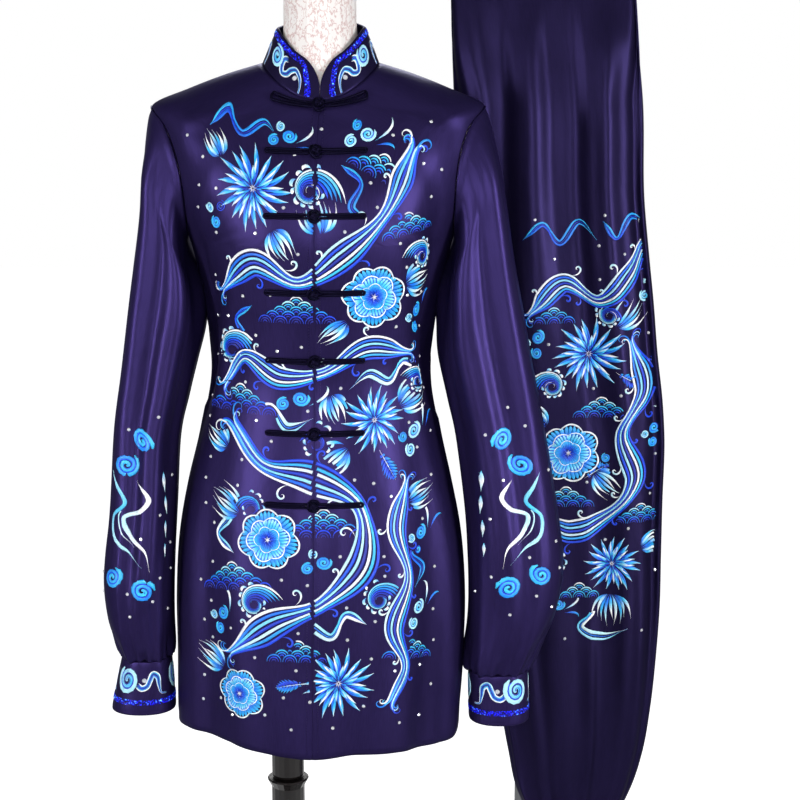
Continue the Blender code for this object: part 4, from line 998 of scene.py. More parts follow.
def waistband(finish):
    """The elastic waistband, with its rows of fine gathers."""
    loop = band_loop()
    step = np.roll(loop, -1, axis=0) - np.roll(loop, 1, axis=0)
    out = unit(np.column_stack([step[:, 1], -step[:, 0]]))
    run = np.cumsum(np.linalg.norm(step, axis=1)) / 2
    rows = []
    for share in np.linspace(0.0, 1.0, 18):
        gathers = BAND_RIB * np.sin(run * 1400.0) * np.sin(np.pi * share * 4) ** 2
        place = loop + out * (gathers - BAND_RIB * rolled(share, 0.05))[:, None]
        z = TROUSER_TOP_Z + 0.0001 + (WAISTBAND_HEIGHT - 0.0001) * share
        rows.append(np.column_stack([place, np.full(len(loop), z)]))
    cloth_piece("waistband", finish, np.array(rows), wrap=True)


def ankle_band(name, side, finish):
    """An elastic ankle band under a leg, ribbed by its gathers."""
    middle, half_width, half_thick = trouser_section(TROUSER_LOW_Z)
    half, deep = half_width - SEAM_GAP, (half_thick - LEG_GAP) / 2 - SEAM_GAP
    y = TROUSER_Y + side * (LEG_GAP + half_thick) / 2
    sine, cosine = rounding(TURNS, LEG_POWER)
    rows = []
    for share in np.linspace(0.0, 1.0, 14):
        ribs = BAND_RIB * sin_of(TURNS * 30) * np.sin(np.pi * share) ** 0.5 - 0.0003
        x = TORSO_X + middle + (half + ribs) * cosine
        z = np.full(TURNS.shape, TROUSER_LOW_Z - BAND_SEAM - ANKLE_HEIGHT * share)
        rows.append(np.column_stack([x, y - (deep + ribs) * sine, z]))
    cloth_piece(name, finish, np.array(rows), STIFF_CLOTH, wrap=True)


# Charts: flat coordinates across and up a piece of cloth, in metres, with the place on it


class BodyChart:
    """Across from the jacket's middle line along the cloth, and up as a height at the front."""

    def __init__(self):
        self.ups = np.linspace(BODY[0].up, BODY[-1].up, 205)
        angles = np.linspace(-CHART_ANGLE, CHART_ANGLE, 201)
        grid = body_surface(angles, self.ups[:, None])
        step = np.linalg.norm(np.diff(grid, axis=1), axis=-1)
        self.arc = np.concatenate([np.zeros((len(self.ups), 1)), np.cumsum(step, axis=1)], axis=1)
        self.arc -= self.arc[:, 100:101]
        self.heights = body_surface(0.0, self.ups)[:, 2]

    def arc_at(self, angle, up):
        """Length along the cloth from its middle line to an angle, at a height."""
        rows, spots = self.arc.shape[0] - 1, self.arc.shape[1] - 1
        row = np.clip((up - self.ups[0]) / (self.ups[-1] - self.ups[0]) * rows, 0.0, rows - 0.001)
        spot = np.clip(angle + CHART_ANGLE, 0.0, spots - 0.001)
        i, j = row.astype(int), spot.astype(int)
        a, b = row - i, spot - j
        low = self.arc[i, j] * (1 - b) + self.arc[i, j + 1] * b
        high = self.arc[i + 1, j] * (1 - b) + self.arc[i + 1, j + 1] * b
        return low * (1 - a) + high * a

    def angle_up(self, across, height):
        up = np.interp(height, self.heights, self.ups)
        angle = np.degrees(across / BODY_RADIUS)
        reach = CHART_ANGLE - 1.0
        for _ in range(7):
            slope = (self.arc_at(angle + 1.0, up) - self.arc_at(angle - 1.0, up)) / 2
            angle = np.clip(angle - (self.arc_at(angle, up) - across) / slope, -reach, reach)
        return angle, up

    def opening(self, height):
        """How far across the opening lies at a height."""
        up = np.interp(height, self.heights, self.ups)
        return float(self.arc_at(opening_angle(up), up))

    def points(self, across, height, lift):
        return body_points(*self.angle_up(across, height), lift)

    def inside(self, across, height):
        """Which front a point lies on: -1 right, +1 left, 0 off the cloth or in the opening."""
        angle, up = self.angle_up(across, height)
        reach = 90.0 - ARMHOLE_FRONT * armhole_share(up)
        held = (np.abs(angle) < reach - 3.5) & (up < 0.985) & (up > 0.03)
        off = angle - opening_angle(up)
        return np.where(held & (np.abs(off) > 0.40), np.sign(off), 0).astype(int)


class SleeveChart:
    """Along the cloth from the front line of a sleeve, and up as the height of its middle."""

    def __init__(self, side):
        self.side = side
        self.along = np.linspace(FIRST_RING, 1.0, 200)
        ring = sleeve_ring(side, self.along)
        self.heights = (ring.outer_z + ring.inner_z) / 2
        self.halves = np.hypot(ring.outer_x - ring.inner_x, ring.outer_z - ring.inner_z) / 2
        self.depths = ring.half_depth

    def place(self, across, height):
        along = np.interp(-height, -self.heights, self.along)
        half, depth = (np.interp(along, self.along, size) for size in (self.halves, self.depths))

        def pace(angle):
            return np.hypot(half * np.cos(angle), depth * np.sin(angle))

        angle = across / half
        for _ in range(5):
            walked = angle / 6 * (pace(0.0) + 4 * pace(angle / 2) + pace(angle))
            angle = np.clip(angle - (walked - across) / pace(angle), -2.4, 2.4)
        return 90.0 - self.side * np.degrees(angle), along

    def points(self, across, height, lift):
        return sleeve_face(self.side, *self.place(across, height), lift)

    def inside(self, across, height):
        along = self.place(across, height)[1]
        return np.where((along > 0.2) & (along < 0.97), 1, 0)


class LegChart:
    """Across in x over the near leg's outer face, and up in z."""

    def __init__(self):
        self.turns = np.linspace(-90.0, 90.0, 181)
        self.across = rounding(self.turns, LEG_POWER)[0]

    def spot(self, across, height):
        """Where a place lies between the leg's fold (-1) and its side seam (1)."""
        middle, half, _ = trouser_section(height)
        return np.clip((across - middle) / half, -0.999, 0.999)

    def points(self, across, height, lift):
        turn = np.interp(self.spot(across, height), self.across, self.turns)
        first = -90.0 + SLIT_TURN * leg_closed(height)
        return leg_face(-1, (turn - first) / (90.0 - first) / 2, height, lift)

    def inside(self, across, height):
        held = np.abs(self.spot(across, height)) < 0.93
        return np.where(held & (height > 0.45) & (height < 1.28), 1, 0)


class CollarChart:
    """Along the collar from the opening, to the wearer's left when positive, and up it."""

    def top(self, across):
        """Share of the collar's height that stands at a place along it."""
        angle = collar_angle(across)
        return collar_full(np.minimum(angle, 360.0 - angle))

    def points(self, across, height, lift):
        share = (height / COLLAR_HEIGHT - COLLAR_FOOT) / (self.top(across) - COLLAR_FOOT)
        return collar_face(collar_angle(across), share, lift)

    def inside(self, across, height):
        top = self.top(across) * COLLAR_HEIGHT
        return np.where((height > WORK_EDGE) & (height < top - 0.001), 1, 0)


class CuffChart:
    """Round a cuff from its front, and up from its lower edge."""

    def __init__(self, side):
        self.side = side
        size = LEFT_CUFF if side > 0 else RIGHT_CUFF
        self.drop = size.top_z - size.low_z
        self.radius = (size.low_width + size.low_depth) / 2

    def points(self, across, height, lift):
        return cuff_face(self.side, self.turn(across), 1.0 - height / self.drop, lift)

    def turn(self, across):
        return 90.0 - np.degrees(across / self.radius)

    def inside(self, across, height):
        return np.where((height > WORK_EDGE) & (height < self.drop - WORK_EDGE), 1, 0)


# Embroidery. Its lines are drawn in millimetres on a chart and laid on the cloth.

DEEP = rgb(16, 34, 150)
ROYAL = rgb(10, 66, 225)
AZURE = rgb(8, 132, 236)
SKY = rgb(54, 196, 246)
ICE = rgb(180, 236, 252)
WHITE = rgb(250, 252, 255)
SILVER = rgb(150, 156, 190)
PALE_LINE = [WHITE, WHITE, ICE, WHITE, WHITE]
FOAM = (
    [ROYAL, SKY, WHITE, WHITE], [AZURE, ICE, WHITE, WHITE],
    [DEEP, AZURE, SKY, WHITE], [ROYAL, AZURE, ICE, WHITE],
)
FOAM_WIDTH = 2.1
FOAM_CURL = 0.30
# A rolling wave's lines from its crest inwards, and how far apart they lie
BILLOW = (
    PALE_LINE, [SKY, ICE, SKY], [AZURE, SKY, AZURE], [AZURE, AZURE, ROYAL],
    [ROYAL, ROYAL], [DEEP, ROYAL], [DEEP, DEEP],
)
BILLOW_PITCH = 0.115
# The three crescents of a mound's scales, for each row from the top
MOUND = (
    (WHITE, SKY, AZURE), (ICE, SKY, AZURE), (SKY, AZURE, ROYAL), (AZURE, ROYAL, DEEP), (ROYAL, DEEP, DEEP),
)
# A cloud disc's two threads: how far in each starts, its width and its colours
PALE_DISC = ((0.0, 0.40, [ICE, ICE, SKY, ICE]), (0.5, 0.15, [ROYAL, DEEP, ROYAL]))
BLUE_DISC = ((0.0, 0.40, [SKY, AZURE, SKY, SKY]), (0.5, 0.15, [ROYAL, ROYAL, AZURE]))
# Rings of petals: how many, how far they reach, where they start, their light and dark colours
ASTER = (
    (17, 1.00, 0.16, [ROYAL, AZURE, SKY, WHITE], [DEEP, ROYAL, AZURE, SKY]),
    (14, 0.76, 0.12, [AZURE, SKY, WHITE, WHITE], [ROYAL, ROYAL, AZURE, ICE]),
    (10, 0.52, 0.08, [ROYAL, SKY, ICE, WHITE], [DEEP, ROYAL, SKY, ICE]),
    (7, 0.28, 0.03, [ROYAL, AZURE, SKY], [DEEP, DEEP, ROYAL]),
)
# Rings of broad petals: the same, with their width after their reach
PEONY = (
    (7, 1.00, 0.40, 0.26, [SKY, WHITE, WHITE, WHITE, SKY], [DEEP, ROYAL, AZURE, SKY]),
    (6, 0.72, 0.31, 0.14, [SKY, WHITE, WHITE, WHITE, SKY], [DEEP, AZURE, SKY, ICE]),
    (5, 0.44, 0.21, 0.04, [ICE, WHITE, WHITE, WHITE, ICE], [ROYAL, ROYAL, AZURE, SKY]),
)
# A scroll's nested lines: how far each lies from the middle one, its half width and its colours
SCROLL_STRANDS = (
    (-2.5, 0.70, PALE_LINE), (-1.35, 0.55, [SKY, AZURE, SKY]), (0.0, 0.85, [ROYAL, DEEP, ROYAL]),
    (1.35, 0.55, [AZURE, SKY, AZURE]), (2.5, 0.70, [ICE, WHITE, WHITE]),
)
Scroll = namedtuple("Scroll", "knots eye scale")
COLLAR_SCROLL = Scroll(
    (
        (0, -4), (-0.8, 6), (1.5, 15), (6.5, 19.5), (12, 16),
        (17, 9), (22.5, 7), (25, 14), (23, 22), (18.5, 24),
    ),
    (36.0, 17.5, 14.0), 0.96,
)
CUFF_SCROLL = Scroll(
    (
        (-30, -13), (-24, -12), (-21.5, -4), (-19.5, 5), (-15, 7.5),
        (-11.5, 1.5), (-8.5, -4.5), (-3, -6.5), (2, -3),
    ),
    (13.5, 1.5, 16.5), 1.15,
)


def smooth_line(knots, count):
    """A smooth line through a few points, evenly spaced."""
    knots = np.asarray(knots, float)
    if len(knots) == 2:
        return knots[0] + (knots[1] - knots[0]) * np.linspace(0.0, 1.0, count)[:, None]
    run = run_along(knots)
    dense = np.linspace(0.0, run[-1], count * 4)
    line = np.column_stack([curve_through(run, knots[:, k], dense) for k in (0, 1)])
    length = run_along(line)
    even = np.linspace(0.0, length[-1], count)
    return np.column_stack([np.interp(even, length, line[:, k]) for k in (0, 1)])


def sides_of(line):
    """Unit directions along a line and to its left."""
    ahead = unit(np.gradient(line, axis=0))
    return ahead, np.column_stack([-ahead[:, 1], ahead[:, 0]])


def heading(turn):
    """Unit directions ahead and to the left, for a turn in degrees."""
    angle = math.radians(turn)
    return np.array([math.cos(angle), math.sin(angle)]), np.array([-math.sin(angle), math.cos(angle)])


def turn_of(direction):
    """The turn in degrees of a direction."""
    return math.degrees(math.atan2(direction[1], direction[0]))


def flourish(root, turn, length, bend, count=22, tighten=1.7):
    """Points of a line that sets off at a turn and winds ever tighter, by bend in all."""
    t = (np.arange(1, count) - 0.5) / (count - 1)
    angle = np.radians(turn + bend * t**tighten)
    step = (1.3 - t) * length / (count - 1) / 0.8
    path = np.cumsum(step[:, None] * np.column_stack([np.cos(angle), np.sin(angle)]), axis=0)
    return np.asarray(root, float) + np.concatenate([[(0.0, 0.0)], path])


def spindle(share, rise=0.3, fall=0.6):
    """Width of a stroke that swells from a point and runs out to a point."""
    return np.minimum(smooth_step(-0.02, rise, share), 1 - smooth_step(1 - fall, 1.02, share))


def blend_colours(stops, share):
    places = np.linspace(0.0, 1.0, len(stops))
    return np.column_stack([np.interp(share, places, [c[k] for c in stops]) for k in range(3)])


class Needlework:
    """Satin-stitch strokes on one piece of cloth, gathered into one mesh."""

    def __init__(self, chart, seed, mirror=1):
        self.chart = chart
        self.mirror = mirror
        self.chance = np.random.default_rng(seed)
        self.flat, self.lifts, self.colours, self.threads, self.faces = [], [], [], [], []
        self.count = 0
        self.motif = 0
        self.owner = {}

    def begin(self):
        """Starts a motif. It lies under those worked before it, which cut its strokes short."""
        self.motif += 1

    def covered(self, line):
        """Where a line runs under an earlier motif."""
        cells = np.round(line).astype(int).tolist()
        return np.array([self.owner.get((x, y), self.motif) != self.motif for x, y in cells])

    def claim(self, line, wide):
        """Marks the cloth under a stroke, and a narrow margin beside it, as worked."""
        left = sides_of(line)[1]
        for place in np.linspace(-1.0, 1.0, 2 * int(wide.max() + 1.9) + 1):
            for x, y in np.round(line + left * (place * (wide + 0.9))[:, None]).astype(int).tolist():
                self.owner.setdefault((x, y), self.motif)

    def stroke(self, line, width, stops, height=0.45, shape=None, level=0.0, hidden=()):
        """A raised stroke: width is its greatest half width in mm, shape its profile. It is left
        out inside hidden discs."""
        line = np.asarray(line, float)
        share = np.linspace(0.0, 1.0, len(line))
        wide = np.maximum(width * (spindle(share) if shape is None else shape), 0.10)
        colour = blend_colours(stops, share) * (1 + self.chance.normal(0.0, 0.05))
        start = self.chance.uniform(0.0, 5.0)
        where = self.chart.inside(self.mirror * line[:, 0] / 1000, line[:, 1] / 1000)
        for x, y, radius in hidden:
            where = np.where(np.hypot(line[:, 0] - x, line[:, 1] - y) < radius, 0, where)
        under = self.covered(line)
        where = np.where(under, 0, where)
        breaks = np.flatnonzero(np.diff(where)) + 1
        least = 0.45 * len(line) if under.any() and len(line) < 90 else 2.5
        for part in np.split(np.arange(len(line)), breaks):
            if where[part[0]] and len(part) > least:
                self.claim(line[part], wide[part])
                self.strip(line[part], wide[part], colour[part], height, level, start)

    def strip(self, line, wide, colour, height, level, start):
        """Adds one stroke's raised strip: four edges along the line, closed at both ends."""
        left = sides_of(line)[1]
        count = len(line)
        run = run_along(line)
        crown = height * np.clip(wide / 0.9, 0.35, 1.0)
        for offset, raised in ((1.0, 0.0), (0.5, 1.0), (-0.5, 1.0), (-1.0, 0.0)):
            self.flat.append(line + left * (wide * offset)[:, None])
            self.lifts.append((raised * (crown + level) - (1 - raised) * 0.15) / 1000)
            self.colours.append(colour)
            self.threads.append(np.column_stack([run / 1000 + start, wide * offset / 1000 + start]))
        ring = [self.count + count * k for k in range(4)]
        for i in range(count - 1):
            for k in range(4):
                a, b = ring[k] + i, ring[(k + 1) % 4] + i
                self.faces.append((a, b, b + 1, a + 1))
        self.faces.append(tuple(r for r in ring[::-1]))
        self.faces.append(tuple(r + count - 1 for r in ring))
        self.count += 4 * count

    def piece(self, name, finish):
        """The finished piece, with its thread colours and its UV map along the stitches."""
        flat = np.concatenate(self.flat) / 1000
        lifts = np.concatenate([np.broadcast_to(v, len(f)) for v, f in zip(self.lifts, self.flat)])
        points = self.chart.points(self.mirror * flat[:, 0], flat[:, 1], lifts)
        faces = self.faces if self.mirror > 0 else [face[::-1] for face in self.faces]
        mesh = bpy.data.meshes.new(name)
        mesh.from_pydata(points.tolist(), [], faces)
        colours = np.concatenate(self.colours)
        colours = np.column_stack([np.clip(colours, 0.0, 1.0), np.ones(len(colours))])
        layer = mesh.color_attributes.new("thread", "FLOAT_COLOR", "POINT")
        layer.data.foreach_set("color", colours.astype(np.float32).ravel())
        corners = np.empty(len(mesh.loops), np.int32)
        mesh.loops.foreach_get("vertex_index", corners)
        threads = np.concatenate(self.threads)[corners]
        mesh.uv_layers.new(name="UVMap").data.foreach_set("uv", threads.astype(np.float32).ravel())
        mesh.shade_smooth()
        add_piece(name, mesh, finish)

    # Motifs. Places, sizes and turns are in millimetres and degrees.

    def ribbon(self, knots, width, strands, count=64, twist=1.5, narrow=0.4):
        """A streaming ribbon: strands side by side that draw together where it turns over."""
        self.begin()
        line = smooth_line(knots, count)
        left = sides_of(line)[1]
        share = np.linspace(0.0, 1.0, count)
        flatness = narrow + (1 - narrow) * np.abs(np.cos(np.pi * twist * share))
        spread = width * flatness * spindle(share, 0.2, 0.3)
        shape = spindle(share, 0.10, 0.35) * (0.35 + 0.65 * spread / width)
        for place, half, stops in strands:
            self.stroke(line + left * (spread * place)[:, None], half, stops, shape=shape)

    def current(self, knots, width, swells, tones, count=110):
        """Running water: parallel lines that gather and spread, with curls that peel off both sides."""
        self.begin()
        line = smooth_line(knots, count)
        ahead, left = sides_of(line)
        share = np.linspace(0.0, 1.0, count)
        swell = 0.45 + 0.55 * np.sin(np.pi * (swells * share + 0.15)) ** 2
        spread = width * swell * (0.45 + 0.55 * spindle(share, 0.10, 0.10))
        last = len(tones) - 1
        for k, tone in enumerate(tones):
            place = 1 - 2 * k / last
            path = line + left * (spread * place)[:, None]
            way = 1 if place >= 0 else -1
            long = width * (1.5 + 0.9 * math.cos(k * 1.9) ** 2)
            tail = flourish(path[0], turn_of(path[0] - path[1]), long, -way * 330, 16)[:0:-1]
            tip = flourish(path[-1], turn_of(path[-1] - path[-2]), long * 1.1, way * 330, 16)[1:]
            whole = np.concatenate([tail, path, tip])
            at = np.arange(len(whole)) - len(tail)
            shape = np.interp(at, np.arange(count), 0.35 + 0.65 * swell)
            shape = shape * spindle(np.linspace(0, 1, len(whole)), 0.10, 0.10)
            self.stroke(whole, width / last * 0.72, tone, shape=shape)
        for i in range(9, count - 12, 11):
            side = 1 if i % 2 else -1
            root = line[i] + left[i] * side * (spread[i] + 0.4)
            long = width * (1.7 + 0.5 * math.cos(i))
            tone = tones[0] if side > 0 else tones[last]
            self.curl(root, turn_of(ahead[i]) + side * 16, long, side * 430, 1.25, tone)

    def curl(self, root, turn, length, bend, width, stops, tighten=1.7, count=22):
        """A line that sets off at a turn and winds ever tighter."""
        line = flourish(root, turn, length, bend, count, tighten)
        self.stroke(line, width, stops, shape=spindle(np.linspace(0.0, 1.0, count), 0.35, 0.45))

    def spray(self, root, turn, spread, length, count):
        """A burst of curling foam, its middle tongues longest."""
        self.begin()
        middle, across = heading(turn)
        root = np.asarray(root, float)
        if self.covered(smooth_line([root, root + middle * length * 0.7], 8)).mean() > 0.3:
            return
        t = np.linspace(0.0, 1.0, 12)[:, None]
        for i in range(count):
            place = (i + 0.5) / count * 2 - 1
            ahead, side = heading(turn + spread / 2 * place)
            reach = length * (0.66 + 0.34 * math.cos(place * 1.4) + 0.12 * math.cos(i * 2.3))
            bend = -FOAM_CURL * (0.35 + abs(place)) * (1 if place > 0 else -1)
            start = root + across * place * count * FOAM_WIDTH * 0.30
            bow = side * reach * bend * (t**2.2 - 0.25 * np.sin(np.pi * t))
            self.stroke(start + ahead * reach * t + bow, FOAM_WIDTH, FOAM[i % len(FOAM)])

    def billow(self, foot, turn, size, way):
        """A rolling wave: nested lines that climb and curl over, foam fingers along the crest."""
        self.begin()
        crest = flourish(foot, turn, size * 4.6, way * -560.0, 60, 1.35)
        middle = crest[-1]
        reach = np.linalg.norm(crest - middle, axis=1)
        for k, tone in enumerate(BILLOW):
            end = len(crest) - 5 * k
            path = (middle + (crest - middle) * (1 - BILLOW_PITCH * k))[:end]
            wide = np.clip(reach[:end] * BILLOW_PITCH * 0.40, 0.35, 2.3)
            shape = wide * spindle(np.linspace(0.0, 1.0, end), 0.10, 0.15)
            self.stroke(path, 1.0, tone, shape=shape)
        ahead, left = sides_of(crest)
        for n, i in enumerate(range(12, 40, 3)):
            root = crest[i] + left[i] * way * 0.6
            lean = turn_of(ahead[i]) + way * 62
            length = size * (0.52 - 0.006 * i) * (1.0 if n % 2 else 0.72)
            stops = [SKY, WHITE, WHITE] if n % 3 else [AZURE, ICE, WHITE]
            self.curl(root, lean, length, way * -190, size * 0.055 + 0.3, stops, 1.2, 12)

    def scallop(self, middle, size, turn, tones, hidden):
        """Nested crescents, thickest at the crown, left bare where the next row hides them."""
        ahead, side = heading(turn)
        arc = np.radians(np.linspace(-92.0, 92.0, 13))
        rim = np.outer(np.cos(arc), ahead) + np.outer(np.sin(arc), side)
        shape = 0.30 + 0.70 * np.cos(arc) ** 2
        for scale, wide, tone in zip((0.88, 0.56, 0.26), (0.115, 0.105, 0.10), tones):
            self.stroke(middle + rim * size * scale, size * wide, [tone, tone], shape=shape, hidden=hidden)

    def mound(self, top, size, rows, turn):
        """Stacked waves in the traditional scale pattern: white above, deep blue below."""
        self.begin()
        ahead, side = heading(turn)
        top = np.asarray(top, float)
        down = ahead * size * 0.62
        if self.covered(top - down * np.arange(rows)[:, None]).mean() > 0.25:
            return
        middles = [
            [top - down * row + side * size * (2 * k - row) for k in range(row + 1)]
            for row in range(rows + 1)
        ]
        for row in range(rows):
            hidden = [(*middle, size) for middle in middles[row + 1]] if row < rows - 1 else ()
            for middle in middles[row]:
                self.scallop(middle, size, turn, MOUND[row], hidden)

    def disc(self, centre, radius, turn, tall=0.86, way=1, pale=False):
        """A round cloud: two threads wound side by side into a spiral, with a bright rim."""
        t = np.linspace(0.0, 1.0, 34)
        tilt = math.radians(turn)
        winds = 2.4
        pitch = radius / winds
        shape = spindle(t, 0.03, 0.08) * (1 - 0.20 * t)
        swirl = way * (t * winds * 2 * np.pi) + 0.6
        for step, wide, stops in PALE_DISC if pale else BLUE_DISC:
            reach = np.maximum(radius - pitch * (0.36 + step + t * (winds - 0.45 - step)), 0.0)
            x, y = reach * np.cos(swirl), reach * np.sin(swirl) * tall
            path = np.column_stack([
                centre[0] + x * math.cos(tilt) - y * math.sin(tilt),
                centre[1] + x * math.sin(tilt) + y * math.cos(tilt),
            ])
            self.stroke(path, pitch * wide, stops, height=0.5, shape=shape)

    def cloud(self, centre, size, turn, pale):
        """An auspicious cloud: three discs and a tail of two streamers."""
        self.begin()
        centre = np.asarray(centre, float)
        ahead, side = heading(turn)
        spine = centre + np.outer(np.linspace(-1.6, 1.6, 9) * size, ahead)
        ahead, side = ahead * size, side * size
        if self.covered(np.concatenate([spine, spine + side])).mean() > 0.15:
            return
        self.disc(centre - ahead * 0.95 - side * 0.1, size * 0.82, turn + 20, pale=pale)
        self.disc(centre + ahead * 0.85 + side * 0.1, size * 0.98, turn - 15, way=-1, pale=pale)
        self.disc(centre + side * 1.25, size * 0.66, turn + 60, pale=not pale)
        root = centre + ahead * 1.5 - side * 0.75
        self.curl(root, turn + 14, size * 2.9, 120, size * 0.13 + 0.3, [SKY, WHITE, ICE], 2.2)
        root = root - side * 0.45
        self.curl(root, turn - 8, size * 2.2, -110, size * 0.12 + 0.3, [ROYAL, AZURE, SKY], 2.2)

    def aster(self, centre, size, turn, way=1):
        """A chrysanthemum: rings of curved petals, each of a light and a dark stroke."""
        self.begin()
        centre = np.asarray(centre, float)
        t = np.linspace(0.0, 1.0, 10)[:, None]
        shape = spindle(t[:, 0], 0.55, 0.35)
        for ring, (count, reach, start, light, dark) in enumerate(ASTER):
            half = size * reach * math.pi / count * 0.36
            for i in range(count):
                ahead, side = heading(turn + 360.0 / count * (i + 0.5 * (ring % 2)))
                long = size * (reach - start) * (1 + 0.08 * math.sin(i * 2.4 + ring))
                sway = way * long * (0.20 + 0.10 * math.cos(i * 1.7)) * t**2
                spine = centre + ahead * (size * start + long * t) + side * sway
                belly = side * way * (half * 0.5 * np.sin(np.pi * t**0.8))
                self.stroke(spine + belly, half * 0.62, light, shape=shape, level=0.22 * ring)
                self.stroke(spine - belly, half * 0.55, dark, shape=shape, level=0.22 * ring - 0.05)
        for i in range(8):
            ahead = heading(turn + 45.0 * i)[0] * size
            grain = smooth_line([centre + ahead * 0.02, centre + ahead * 0.11], 4)
            self.stroke(grain, 0.7, [WHITE, SILVER], level=0.8)

    def petal(self, root, turn, length, width, light, dark, level):
        """A broad rounded petal: fanned stitches inside a pale rim."""
        ahead, side = heading(turn)
        t = np.linspace(0.0, 1.0, 9)[:, None]

        def tip(place, reach=1.0):
            return root + ahead * length * (reach - 0.34 * abs(place) ** 2.2) + side * place * width * 0.98

        def flank(corner, way, shares):
            bow = side * way * width * 0.16
            return [root + (corner - root) * s + bow * math.sin(math.pi * s) for s in shares]

        for place in (-0.80, -0.48, -0.16, 0.16, 0.48, 0.80):
            first = root + side * place * width * 0.18
            belly = root + ahead * length * 0.42 + side * place * width * 1.12
            path = first * (1 - t) ** 2 + 2 * belly * t * (1 - t) + tip(place, 0.95) * t**2
            self.stroke(path, width * 0.17, dark, shape=spindle(t[:, 0], 0.6, 0.10), level=level)
        rim = [tip(place) for place in np.linspace(-1.0, 1.0, 13)]
        near, far = flank(rim[0], -1, (0.25, 0.5, 0.75)), flank(rim[-1], 1, (0.75, 0.5, 0.25))
        outline = np.array(near + rim + far)
        edge = spindle(np.linspace(0.0, 1.0, len(outline)), 0.35, 0.35)
        self.stroke(outline, width * 0.085, light, shape=edge, level=level + 0.10)

    def peony(self, centre, size, turn):
        """A many-petalled blossom with white rims round blue petals."""
        self.begin()
        centre = np.asarray(centre, float)
        for ring, (count, reach, wide, start, light, dark) in enumerate(PEONY):
            for i in range(count):
                angle = turn + 360.0 / count * (i + 0.5 * (ring % 2))
                root = centre + heading(angle)[0] * size * start
                length = size * (reach - start) * (1 + 0.07 * math.cos(i * 2.1 + ring))
                self.petal(root, angle, length, size * wide, light, dark, 0.28 * ring)
        for i in range(6):
            grain = smooth_line([centre, centre + heading(turn + 60.0 * i)[0] * size * 0.12], 4)
            self.stroke(grain, 0.8, [WHITE, SILVER], level=0.95)

    def leaf(self, root, turn, length):
        """A leaf of slanting stitches on both sides of its vein."""
        self.begin()
        ahead, side = heading(turn)
        root = np.asarray(root, float)
        vein = smooth_line([root - ahead * length * 0.12, root + ahead * length], 8)
        if self.covered(vein).mean() > 0.2:
            return
        shape = spindle(np.linspace(0.0, 1.0, 5), 0.3, 0.5)
        for way, stops in ((1, (ROYAL, AZURE, SKY)), (-1, (DEEP, ROYAL, AZURE))):
            for i in range(8):
                t = (i + 0.5) / 8.5
                half = length * 0.26 * math.sin(math.pi * t**0.8)
                start = root + ahead * length * t
                end = start + side * way * half + ahead * half * 0.9
                self.stroke(smooth_line([start, end], 5), length * 0.058, stops, shape=shape)
        self.stroke(vein, 0.45, [WHITE, ICE], level=0.15)

    def drop(self, root, turn, length):
        """One short pointed stroke."""
        self.begin()
        root = np.asarray(root, float)
        path = smooth_line([root, root + heading(turn)[0] * length], 7)
        self.stroke(path, length * 0.15, (SKY, WHITE, ICE))


# Repeated small pieces, set by Geometry Nodes


